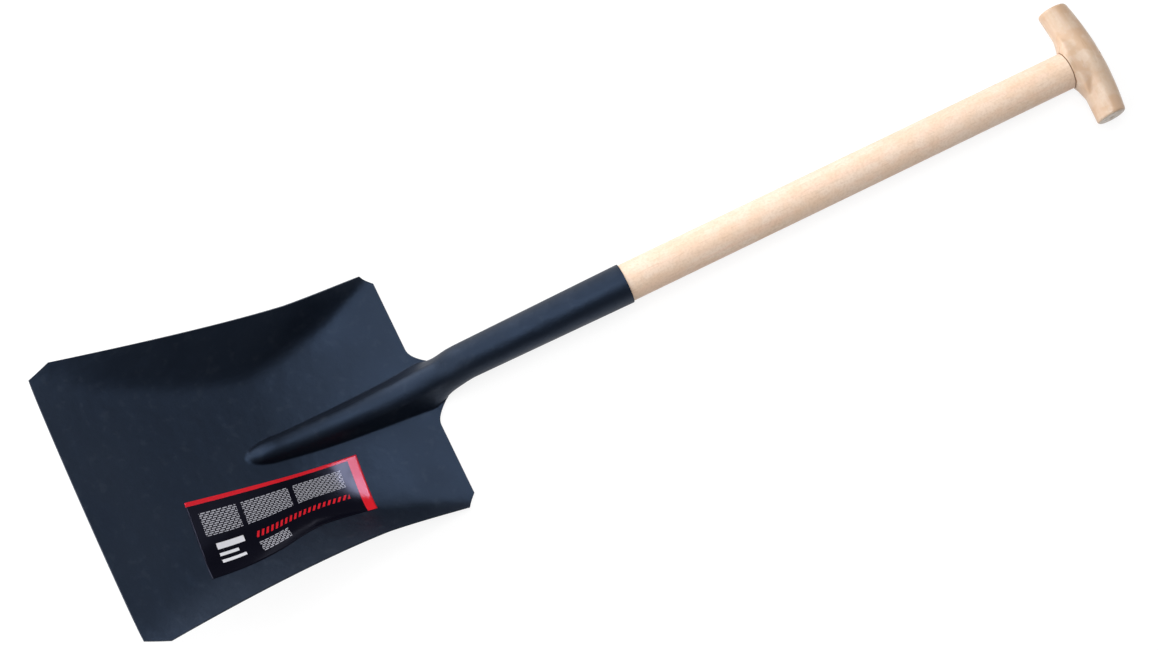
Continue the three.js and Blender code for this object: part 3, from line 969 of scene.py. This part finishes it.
    def mouth_limit(self, across: float) -> float:
        """The pan's front limit: a slight bow and a cut corner.

        Args:
            across: Distance from the middle.

        Returns:
            The limit's distance from the rear edge.
        """
        half = self.mouth_width / 2
        bow = self.mouth_bow * (1 - (across / half) ** 2)
        in_cut = max(across - (half - self.corner_cut_width), 0.0) / self.corner_cut_width
        return self.length + bow - self.mouth_corner_cut * min(in_cut, 1.0)

    def rear_limit(self, across: float) -> float:
        """The pan's rear limit: the shoulder's round, the straight edge and a cut corner.

        Args:
            across: Distance from the middle.

        Returns:
            The limit's distance from the rear edge.
        """
        in_cut = max(across - (self.rear_width / 2 - self.corner_cut_width), 0.0) / self.corner_cut_width
        if in_cut > 0:
            return self.rear_corner_cut * min(in_cut, 1.0)
        in_round = max(self.half_strip + self.shoulder_radius - across, 0.0)
        return math.sqrt(max(self.shoulder_radius**2 - in_round**2, 0.0)) - self.shoulder_radius

    def wing_across(self, along: float, column: int) -> float:
        """Distance across of a column: round the shoulder, over the fold, and through the cut corner.

        Args:
            along: Distance from the rear edge.
            column: Which column beside the strip.

        Returns:
            The distance from the middle.
        """
        outer = self.half_width(along) - self.corner_cut_width
        if column <= self.shoulder_columns:
            angle = column / self.shoulder_columns * math.pi / 2
            return self.half_strip + self.shoulder_radius * (1 - math.cos(angle))
        share = (column - self.shoulder_columns) / self.wing_columns
        if share <= 1:
            return lerp(self.half_strip + self.shoulder_radius, outer, share)
        past = column - self.shoulder_columns - self.wing_columns
        return outer + self.corner_cut_width * past / self.corner_columns

    def row_point(self, row: int, side: float, column: int) -> Vector:
        """The point of the sheet at a row from the mouth and a column from the middle.

        Args:
            row: Row, from the mouth over the pan and the neck to the socket's end.
            side: 1 or -1 for the two halves.
            column: Column from the middle, first over the strip and then over the wing.

        Returns:
            The point in the drawing frame.
        """
        share = row / self.pan_rows
        if column > self.rib_columns:
            wing = column - self.rib_columns
            nominal = lerp(self.length, -self.shoulder_radius, share)
            mouth = self.mouth_limit(self.wing_across(self.length, wing))
            rear = self.rear_limit(self.wing_across(0.0, wing))
            along = lerp(mouth, rear, share)
            return self.wing_point(along, side, self.wing_across(max(along, min(nominal, 0.0)), wing))
        across_share = column / self.rib_columns
        if row <= self.pan_rows:
            mouth = self.mouth_limit(self.half_strip * across_share)
            return self.strip_point(lerp(mouth, -self.shoulder_radius, share), side, across_share)
        past = row - self.pan_rows
        if past <= self.neck_rows:
            along = lerp(-self.shoulder_radius, -self.neck_run, past / self.neck_rows)
            return self.strip_point(along, side, across_share)
        x = lerp(-self.socket_closed_length, 0.0, (past - self.neck_rows) / self.socket_rows)
        return self.socket_point(x, side, across_share)

    def build(self, paint: SatinPaint) -> Piece:
        """Makes the whole sheet, thickens it evenly and rounds its edges.

        Args:
            paint: Its finish.

        Returns:
            The blade.
        """
        points: list[Vector] = []
        faces: list[tuple[int, ...]] = []
        wings = self.shoulder_columns + self.wing_columns + self.corner_columns
        before: dict[int, int] = {}
        for row in range(self.pan_rows + self.neck_rows + self.socket_rows + 1):
            reach = self.rib_columns + (wings if row <= self.pan_rows else 0)
            ids: dict[int, int] = {}
            for column in range(-reach, reach + 1):
                ids[column] = len(points)
                side = -1.0 if column < 0 else 1.0
                points.append(self.place.point(*self.row_point(row, side, abs(column))))
            for column in range(-reach, reach):
                if before:
                    faces.append((before[column], ids[column], ids[column + 1], before[column + 1]))
            before = ids
        piece = mesh_object("pressed_blade", points, faces)
        solid = piece.modifiers.new("sheet", "SOLIDIFY")
        solid.thickness = self.sheet
        solid.offset = 0.0
        apply_modifiers(piece)
        round_edges(piece, self.edge_round, SHARP_TURN)
        apply_modifiers(piece)
        piece.data.materials.append(paint.material())
        return piece


@dataclass
class Rivet:
    """The domed rivet on the socket's back."""

    place: Placement
    blade: Blade
    shank_radius: float = 0.0025
    head_radius: float = 0.005
    head_height: float = 0.0022
    head_gap: float = 0.0001
    length: float = 0.016
    setback: float = 0.024
    angle: float = math.radians(145)
    edge_round: float = 0.0002
    segments: int = 48
    dome_steps: int = 8
    dome_share: float = 0.94

    def build(self, paint: SatinPaint) -> Piece:
        """Makes the rivet, pointing out of the socket.

        Args:
            paint: Its finish.

        Returns:
            The rivet.
        """
        profile = [(-self.length, self.shank_radius / 2), (self.head_gap, self.shank_radius)]
        profile.append((self.head_gap, self.head_radius))
        for step in range(1, self.dome_steps + 1):
            angle = step / self.dome_steps * math.pi / 2 * self.dome_share
            reach = self.head_gap + self.head_height * math.sin(angle)
            profile.append((reach, self.head_radius * math.cos(angle)))
        out = Vector((0, math.sin(self.angle), math.cos(self.angle)))
        seat = Vector((-self.setback, 0, 0)) + out * self.blade.socket_radius(-self.setback)
        turn = Vector((1, 0, 0)).rotation_difference(out)
        points = []
        for reach, radius in profile:
            for c, s in circle(self.segments):
                points.append(self.place.point(*(seat + turn @ Vector((reach, radius * c, -radius * s)))))
        piece = mesh_object("round_rivet", points, tube_faces(len(profile), self.segments))
        round_edges(piece, self.edge_round, SHARP_TURN)
        apply_modifiers(piece)
        piece.data.materials.append(paint.material())
        return piece


@dataclass
class Grip:
    """The T grip: a shallow crescent bar with a flared neck, bored for the shaft's tenon."""

    place: Placement
    seat: float = 0.488
    length: float = 0.1246
    centre_height: float = 0.0386
    arc_sagitta: float = 0.0067
    middle_thickness: float = 0.0344
    end_thickness: float = 0.0302
    middle_depth: float = 0.0368
    end_depth: float = 0.030
    swell_width: float = 0.024
    end_round: float = 0.0026
    end_steps: int = 5
    neck_radius: float = 0.0186
    neck_flare: float = 0.020
    neck_run: float = 0.005
    neck_start: float = math.radians(55)
    neck_inset: float = 0.0003
    bore_radius: float = 0.0127
    bore_beyond: float = 0.01
    centre_mark_radius: float = 0.0025
    centre_mark_tip: float = 0.0001
    centre_mark_depth: float = 0.003
    centre_mark_sides: int = 24
    sanding: float = 0.5
    sanding_rounds: int = 8
    blend_reach: float = 0.054
    blend_start: float = 0.0015
    blend_full: float = 0.006
    blend_rounds: int = 70
    voxel: float = 0.0007
    rows: int = 90
    neck_rows: int = 24
    segments: int = 96

    def __post_init__(self) -> None:
        """Works out where the bar's outer side lies."""
        self.outer = self.seat + self.centre_height

    def bar_size(self, across: float) -> tuple[float, float, float]:
        """The bar's section at a distance across.

        Args:
            across: Distance from the middle.

        Returns:
            How far its outer side has fallen back, its thickness and its depth.
        """
        half = self.length / 2
        t = min(abs(across) / half, 1.0)
        fallback = self.arc_sagitta * (across / half) ** 2
        swell = math.exp(-((across / self.swell_width) ** 2))
        thickness = lerp(self.middle_thickness, self.end_thickness, t * t)
        return fallback, thickness, lerp(self.end_depth, self.middle_depth, swell)

    def outer_side(self, y: float, z: float) -> float:
        """Where the bar's outer surface lies along the shaft's axis.

        Args:
            y: Place beside the axis, along the bar.
            z: Place over the axis.

        Returns:
            The surface's place along the axis.
        """
        fallback, thickness, depth = self.bar_size(y)
        round_share = math.sqrt(max(1 - (2 * z / depth) ** 2, 0.0))
        return self.outer - fallback - thickness / 2 * (1 - round_share)

    def ring(self, across: float, trim: float) -> list[Vector]:
        """One oval section of the bar.

        Args:
            across: Distance from the middle.
            trim: How much smaller it is all round, at the rounded ends.

        Returns:
            The section's points.
        """
        fallback, thickness, depth = self.bar_size(across)
        middle = self.outer - fallback - thickness / 2
        wide, high = thickness / 2 - trim, depth / 2 - trim
        return [self.place.point(middle + wide * c, across, -high * s) for c, s in circle(self.segments)]

    def bar(self) -> Piece:
        """Makes the bar as a closed mesh with rounded ends.

        Returns:
            The bar.
        """
        half = self.length / 2
        inner = half - self.end_round
        steps = []
        for step in range(self.end_steps + 1):
            angle = step / self.end_steps * math.pi / 2
            steps.append((inner + self.end_round * math.cos(angle), self.end_round * (1 - math.sin(angle))))
        rings = [(-across, trim) for across, trim in steps]
        rings += [(lerp(-inner, inner, (i + 1) / self.rows), 0.0) for i in range(self.rows - 1)]
        rings += [(across, trim) for across, trim in reversed(steps)]
        points = [p for across, trim in rings for p in self.ring(across, trim)]
        return mesh_object("grip_bar", points, tube_faces(len(rings), self.segments))

    def neck(self) -> Piece:
        """Makes the neck as a closed mesh that flares sideways into the bar.

        Returns:
            The neck.
        """
        points = []
        start = math.sin(self.neck_start)
        for level in range(self.neck_rows + 2):
            t = min(level / self.neck_rows, 1.0)
            angle = lerp(self.neck_start, math.pi / 2, t)
            x = self.seat + self.neck_run * (math.sin(angle) - start) / (1 - start)
            if level > self.neck_rows:
                x = self.seat + self.centre_height / 2
            flare = self.neck_flare * (1 - math.cos(angle) / math.cos(self.neck_start))
            slim = (self.neck_radius - self.middle_depth / 2 + self.neck_inset) * t
            wide, high = self.neck_radius + flare, self.neck_radius - slim
            points += [self.place.point(x, wide * c, high * s) for c, s in circle(self.segments)]
        return mesh_object("grip_neck", points, tube_faces(self.neck_rows + 2, self.segments))

    def bore(self) -> Piece:
        """Makes the mesh that cuts the hole for the tenon.

        Returns:
            The round mesh, longer than the hole at both ends.
        """
        points = []
        for x in (self.seat - self.bore_beyond, self.outer + self.bore_beyond):
            for c, s in circle(self.segments):
                points.append(self.place.point(x, self.bore_radius * c, self.bore_radius * s))
        return mesh_object("grip_bore", points, tube_faces(2, self.segments))

    def centre_mark(self, side: float) -> Piece:
        """Makes the cone that cuts the small hole a lathe's centre leaves in an end.

        Args:
            side: 1 for the one end, -1 for the other.

        Returns:
            The cone as a closed mesh.
        """
        fallback, thickness, _ = self.bar_size(self.length / 2)
        middle = self.outer - fallback - thickness / 2
        depth = self.centre_mark_depth
        points = []
        for past, radius in ((-depth, self.centre_mark_tip), (depth, 2 * self.centre_mark_radius)):
            across = side * (self.length / 2 + past)
            for c, s in circle(self.centre_mark_sides):
                points.append(self.place.point(middle + radius * c, across, -side * radius * s))
        return mesh_object("centre_mark", points, tube_faces(2, self.centre_mark_sides))

    def soften_neck(self, piece: Piece) -> None:
        """Sands the crease away where the neck runs into the bar.

        Args:
            piece: The joined bar and neck.
        """
        near = piece.vertex_groups.new(name="neck")
        for vertex in piece.data.vertices:
            spot = self.place.drawn(vertex.co)
            inward = (self.blend_reach - abs(spot.y)) / (self.blend_reach - self.neck_radius)
            above = (spot.x - self.seat - self.blend_start) / (self.blend_full - self.blend_start)
            share = max(0.0, min(inward, above, 1.0))
            near.add([vertex.index], share, "REPLACE")
        soft = piece.modifiers.new("sanded_neck", "SMOOTH")
        soft.vertex_group = near.name
        soft.factor = self.sanding
        soft.iterations = self.blend_rounds
        apply_modifiers(piece)

    def build(self, wood: Beech) -> Piece:
        """Joins bar and neck into one shaped piece and bores it.

        Args:
            wood: Its finish.

        Returns:
            The grip.
        """
        bar, neck = self.bar(), self.neck()
        joined = bmesh.new()
        joined.from_mesh(bar.data)
        joined.from_mesh(neck.data)
        joined.to_mesh(bar.data)
        joined.free()
        bpy.data.objects.remove(neck)
        bar.name = "tee_grip"
        remesh = bar.modifiers.new("one_piece", "REMESH")
        remesh.mode = "VOXEL"
        remesh.voxel_size = self.voxel
        soft = bar.modifiers.new("sanded", "SMOOTH")
        soft.factor = self.sanding
        soft.iterations = self.sanding_rounds
        apply_modifiers(bar)
        self.soften_neck(bar)
        for tool in (self.bore(), self.centre_mark(1.0), self.centre_mark(-1.0)):
            cut(bar, tool)
        bar.data.materials.append(wood.material())
        return bar


@dataclass
class Wedge:
    """The wedge that spreads the tenon in the grip."""

    place: Placement
    grip: Grip
    width: float = 0.022
    depth: float = 0.022
    thickness: float = 0.0034
    edge_thickness: float = 0.0008
    inset: float = 0.0003
    gap: float = 0.00015
    steps: int = 16

    def solid(self, name: str, grow: float, beyond: float) -> Piece:
        """Makes the wedge, with its outer end following the grip's outer side.

        Args:
            name: The mesh's name.
            grow: How much larger it is all round.
            beyond: How far its outer end stands past the grip's outer side.

        Returns:
            The wedge.
        """
        half, start = self.width / 2 + grow, self.grip.outer - self.depth - grow
        points = []
        for step in range(self.steps + 1):
            z = lerp(-half, half, step / self.steps)
            thin, thick = self.edge_thickness / 2 + grow, self.thickness / 2 + grow
            end = self.grip.outer_side(0.0, z) + beyond
            points += [self.place.point(start, -thin, z), self.place.point(end, -thick, z)]
            points += [self.place.point(end, thick, z), self.place.point(start, thin, z)]
        return mesh_object(name, points, tube_faces(self.steps + 1, 4))

    def build(self, wood: Beech) -> Piece:
        """Makes the wedge that shows in the tenon's end.

        Args:
            wood: Its finish.

        Returns:
            The wedge.
        """
        piece = self.solid("tenon_wedge", 0.0, -self.inset)
        piece.data.shade_flat()
        piece.data.materials.append(wood.material())
        return piece


@dataclass
class Shaft:
    """The round shaft: tapered tip, seat in the socket, stick, and a tenon slotted for the wedge."""

    place: Placement
    blade: Blade
    grip: Grip
    wedge: Wedge
    radius: float = 0.019
    grip_radius: float = 0.0186
    length: float = 0.488
    tip_length: float = 0.026
    tip_radius: float = 0.008
    tip_round: float = 0.003
    tenon_radius: float = 0.0125
    seat_gap: float = 0.0003
    joint_gap: float = 0.0002
    chamfer: float = 0.0005
    edge_round: float = 0.0002
    sharp_turn: float = math.radians(40)
    segments: int = 112
    stick_steps: int = 60
    seat_steps: int = 12
    end_rings: tuple[float, ...] = (1.0, 0.85, 0.65, 0.45, 0.25, 0.1)

    def profile(self) -> list[tuple[float, float]]:
        """Draws the outline up to the tenon's end.

        Returns:
            Places along the axis and the radii there.
        """
        closed = self.blade.socket_closed_length
        tip = -closed - self.tip_length
        points = [(tip, self.tip_radius - self.tip_round)]
        for i in range(1, self.seat_steps + 1):
            angle = i / self.seat_steps * math.pi / 2
            x = tip + self.tip_round * (1 - math.cos(angle))
            points.append((x, self.tip_radius - self.tip_round * (1 - math.sin(angle))))
        for i in range(self.seat_steps + 1):
            x = lerp(-closed, 0.0, i / self.seat_steps)
            points.append((x, self.blade.socket_radius(x) - self.blade.sheet - self.seat_gap))
        points.append((self.seat_gap, self.radius - self.seat_gap))
        start, end = 2 * self.seat_gap, self.length - self.joint_gap
        points.append((start, self.radius))
        for i in range(1, self.stick_steps + 1):
            share = i / self.stick_steps
            x = lerp(start, end - self.chamfer, share)
            points.append((x, lerp(self.radius, self.grip_radius, share)))
        return points + [(end, self.grip_radius - self.chamfer), (end, self.tenon_radius)]

    def build(self, wood: Beech) -> Piece:
        """Turns the shaft, closes the tenon's end along the grip's outer side and slots it.

        Args:
            wood: Its finish.

        Returns:
            The shaft.
        """
        outline, points = self.profile(), []
        for x, radius in outline:
            points += [self.place.point(x, radius * c, radius * s) for c, s in circle(self.segments)]
        for share in self.end_rings:
            for c, s in circle(self.segments):
                y, z = share * self.tenon_radius * c, share * self.tenon_radius * s
                points.append(self.place.point(self.grip.outer_side(y, z) - self.wedge.inset, y, z))
        rings = len(outline) + len(self.end_rings)
        piece = mesh_object("shaft_stick", points, tube_faces(rings, self.segments))
        cut(piece, self.wedge.solid("wedge_slot", self.wedge.gap, self.radius))
        round_edges(piece, self.edge_round, self.sharp_turn)
        apply_modifiers(piece)
        piece.data.materials.append(wood.material())
        return piece


@dataclass
class Label:
    """The printed film on the pan's floor, beside the rib."""

    place: Placement
    blade: Blade
    rear: float = 0.0827
    mouth: float = 0.2635
    rear_slant: float = 0.0049
    mouth_slant: float = 0.0071
    rear_inner: float = 0.0336
    mouth_inner: float = 0.0221
    outer_edge: tuple[tuple[float, float], ...] = (
        (0.0876, 0.0918), (0.137, 0.0883), (0.163, 0.0905), (0.2, 0.0982), (0.235, 0.1013), (0.2706, 0.1003),
    )
    gap: float = 0.00008
    thickness: float = 0.00022
    rows: int = 120
    columns: int = 56

    def build(self, film: PrintedFilm) -> Piece:
        """Lays the film over the pan.

        Args:
            film: Its finish.

        Returns:
            The label.
        """
        points, faces, places = [], [], []
        for row in range(self.rows + 1):
            share = row / self.rows
            start, slant = lerp(self.mouth, self.rear, share), lerp(self.mouth_slant, self.rear_slant, share)
            inner = lerp(self.mouth_inner, self.rear_inner, share)
            outer = through_points(list(self.outer_edge), start + slant)
            for column in range(self.columns + 1):
                out = 1 - column / self.columns
                along, across = start + slant * out, -lerp(inner, outer, out)
                points.append(self.blade.pan_point(along, across, self.blade.pan_height(along, across)))
                places.append((share, out))
        for row in range(self.rows):
            for column in range(self.columns):
                a = row * (self.columns + 1) + column
                b = a + self.columns + 1
                faces.append((a, b, b + 1, a + 1))
        piece = mesh_object("pan_label", [self.place.point(*p) for p in points], faces)
        lift = self.blade.sheet / 2 + self.gap
        piece.data.update()
        normals = [v.normal.copy() for v in piece.data.vertices]
        for vertex, normal in zip(piece.data.vertices, normals):
            vertex.co += normal * lift
        layer = piece.data.uv_layers.new(name="print")
        for loop in piece.data.loops:
            layer.data[loop.index].uv = places[loop.vertex_index]
        solid = piece.modifiers.new("film", "SOLIDIFY")
        solid.thickness = self.thickness
        solid.offset = 1.0
        apply_modifiers(piece)
        piece.data.materials.append(film.material())
        return piece


@dataclass(frozen=True)
class SoftBox:
    """One soft square lamp, aimed at the shovel."""

    name: str
    where: Triple
    power: float
    aim: Triple = (0.0, 0.0, 0.0)
    side: float = 1.3

    def build(self) -> bpy.types.Object:
        """Places and aims the lamp.

        Returns:
            The lamp.
        """
        lamp = bpy.data.lights.new(self.name, "AREA")
        lamp.shape = "SQUARE"
        lamp.size = self.side
        lamp.energy = self.power
        made = bpy.data.objects.new(self.name, lamp)
        made.location = self.where
        made.rotation_euler = (Vector(self.aim) - Vector(self.where)).to_track_quat("-Z", "Y").to_euler()
        bpy.context.scene.collection.objects.link(made)
        return made


@dataclass
class Studio:
    """Pale floor, soft lamps, one small lamp that glints in the film, and a dim room."""

    floor_size: float = 80.0
    floor_drop: float = 0.0004
    floor_white: float = 0.85
    floor_shade: float = 0.18
    floor_bounce: float = 0.85
    room: float = 0.11
    lamps: tuple[SoftBox, ...] = (
        SoftBox("lamp_overhead", (0.0, 0.0, 2.65), 29.5),
        SoftBox("lamp_upper_side", (0.0, 1.84, 1.89), 14.8),
        SoftBox("lamp_low_side", (-0.78, 2.41, 0.63), 32.0),
        SoftBox("lamp_blade_side", (-1.3, 1.3, 1.89), 20.5),
        SoftBox("lamp_blade_end", (-2.44, 0.0, 0.94), 42.0),
        SoftBox("lamp_grip_end", (2.44, 0.0, 0.94), 6.0),
        SoftBox("lamp_film_glint", (0.952, 0.608, 2.249), 9.0, aim=(-0.305, -0.06, 0.014), side=0.42),
    )

    def floor(self) -> Piece:
        """Makes the floor, which shows as white but keeps the shovel's shadow.

        Returns:
            The floor.
        """
        half = self.floor_size / 2
        outline = ((-half, -half), (half, -half), (half, half), (-half, half))
        corners = [Vector((x, y, -self.floor_drop)) for x, y in outline]
        made = mesh_object("studio_floor", corners, [(0, 1, 2, 3)])
        book = NodeBook("floor_paper")
        rays = book.add("LightPath")
        seen = book.math("MAXIMUM", rays.outputs["Is Camera Ray"], rays.outputs["Is Glossy Ray"])
        seen = book.math("MAXIMUM", seen, rays.outputs["Is Transmission Ray"])
        shade = book.add("BsdfDiffuse", {"Color": grey(self.floor_shade)})
        glow = book.add("Emission", {"Strength": self.floor_white})
        white = book.add("AddShader", {0: shade.outputs[0], 1: glow.outputs[0]})
        bounce = book.add("BsdfDiffuse", {"Color": grey(self.floor_bounce)})
        mixed = book.add("MixShader", {0: seen, 1: bounce.outputs[0], 2: white.outputs[0]})
        book.add("OutputMaterial", {"Surface": mixed.outputs[0]})
        made.data.materials.append(book.material)
        return made

    def light(self) -> None:
        """Places the lamps and sets the room's own dim light."""
        for lamp in self.lamps:
            lamp.build()
        world = bpy.data.worlds.new("room")
        world.use_nodes = True
        background = world.node_tree.nodes["Background"]
        background.inputs["Color"].default_value = grey(self.room)
        background.inputs["Strength"].default_value = 1.0
        bpy.context.scene.world = world


@dataclass(frozen=True)
class Viewpoint:
    """The camera, by the point that it looks at."""

    aim: Triple = (-0.04984, -0.01920, 0.03)
    distance: float = 2.2282
    azimuth: float = math.radians(-17.603)
    elevation: float = math.radians(76.999)
    roll: float = math.radians(-8.715)
    lens: float = 71.44
    sensor: float = 36.0

    def build(self) -> bpy.types.Object:
        """Places the camera and makes it the scene's own.

        Returns:
            The camera.
        """
        flat, up = math.cos(self.elevation), math.sin(self.elevation)
        back = Vector((math.sin(self.azimuth) * flat, -math.cos(self.azimuth) * flat, up))
        right = Vector((0, 0, 1)).cross(back).normalized()
        level = Matrix((right, back.cross(right), back)).transposed()
        data = bpy.data.cameras.new("camera")
        data.lens = self.lens
        data.sensor_width = self.sensor
        data.sensor_fit = "HORIZONTAL"
        made = bpy.data.objects.new("camera", data)
        turned = (level @ Matrix.Rotation(self.roll, 3, "Z")).to_quaternion()
        made.matrix_world = Matrix.LocRotScale(Vector(self.aim) + back * self.distance, turned, None)
        bpy.context.scene.collection.objects.link(made)
        bpy.context.scene.camera = made
        return made


def seat_piece(piece: Piece, node: str) -> None:
    """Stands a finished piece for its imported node.

    Args:
        piece: The finished piece.
        node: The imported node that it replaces.
    """
    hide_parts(node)
    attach(piece, "root")
    log.info("%s stands for %s: %d faces", piece.name, node, len(piece.data.polygons))


def main() -> None:
    """Builds the shovel piece by piece, then the studio and the camera."""
    logging.basicConfig(level=logging.INFO, format="%(name)s: %(message)s")
    tip, shoulder, reach = -0.196, 0.4877, 0.0005
    place = Placement.along_shaft(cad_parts["shaft"], tip, shoulder, reach)
    blade, grip = Blade(place), Grip(place)
    wedge = Wedge(place, grip)
    paint = SatinPaint("blade_paint", place)
    rivet_paint = SatinPaint("rivet_paint", place, roughness=0.36)
    shaft_wood = Beech("shaft_wood", place, Grain.ALONG_SHAFT)
    grip_wood = Beech(
        "grip_wood", place, Grain.ALONG_GRIP,
        pale=(0.64, 0.50, 0.385),
        warm=(0.54, 0.385, 0.265),
        blush=(0.60, 0.43, 0.33),
        blotch=(0.55, 0.36, 0.23),
        blotches=Layer(60.0, 3.0, (0.42, 0.60, 0.0, 0.75)),
        gloss=Layer(9.0, 6.0, (0.3, 0.7, 0.25, 0.43)),
        seed_shift=3.0,
        end_at=0.0612,
    )
    wedge_wood = Beech(
        "wedge_wood", place, Grain.ALONG_SHAFT,
        pale=(0.52, 0.33, 0.18),
        warm=(0.42, 0.25, 0.13),
    )
    seat_piece(blade.build(paint), "blade_and_socket")
    seat_piece(Rivet(place, blade).build(rivet_paint), "socket_rivet")
    seat_piece(Shaft(place, blade, grip, wedge).build(shaft_wood), "shaft")
    seat_piece(grip.build(grip_wood), "grip")
    seat_piece(wedge.build(wedge_wood), "grip_wedge")
    seat_piece(Label(place, blade).build(PrintedFilm("label_film")), "label")
    studio = Studio()
    studio.floor()
    studio.light()
    Viewpoint().build()
    bpy.context.scene.view_settings.view_transform = "Standard"
    log.info("the shovel is built")


if __name__ == "__main__":
    main()
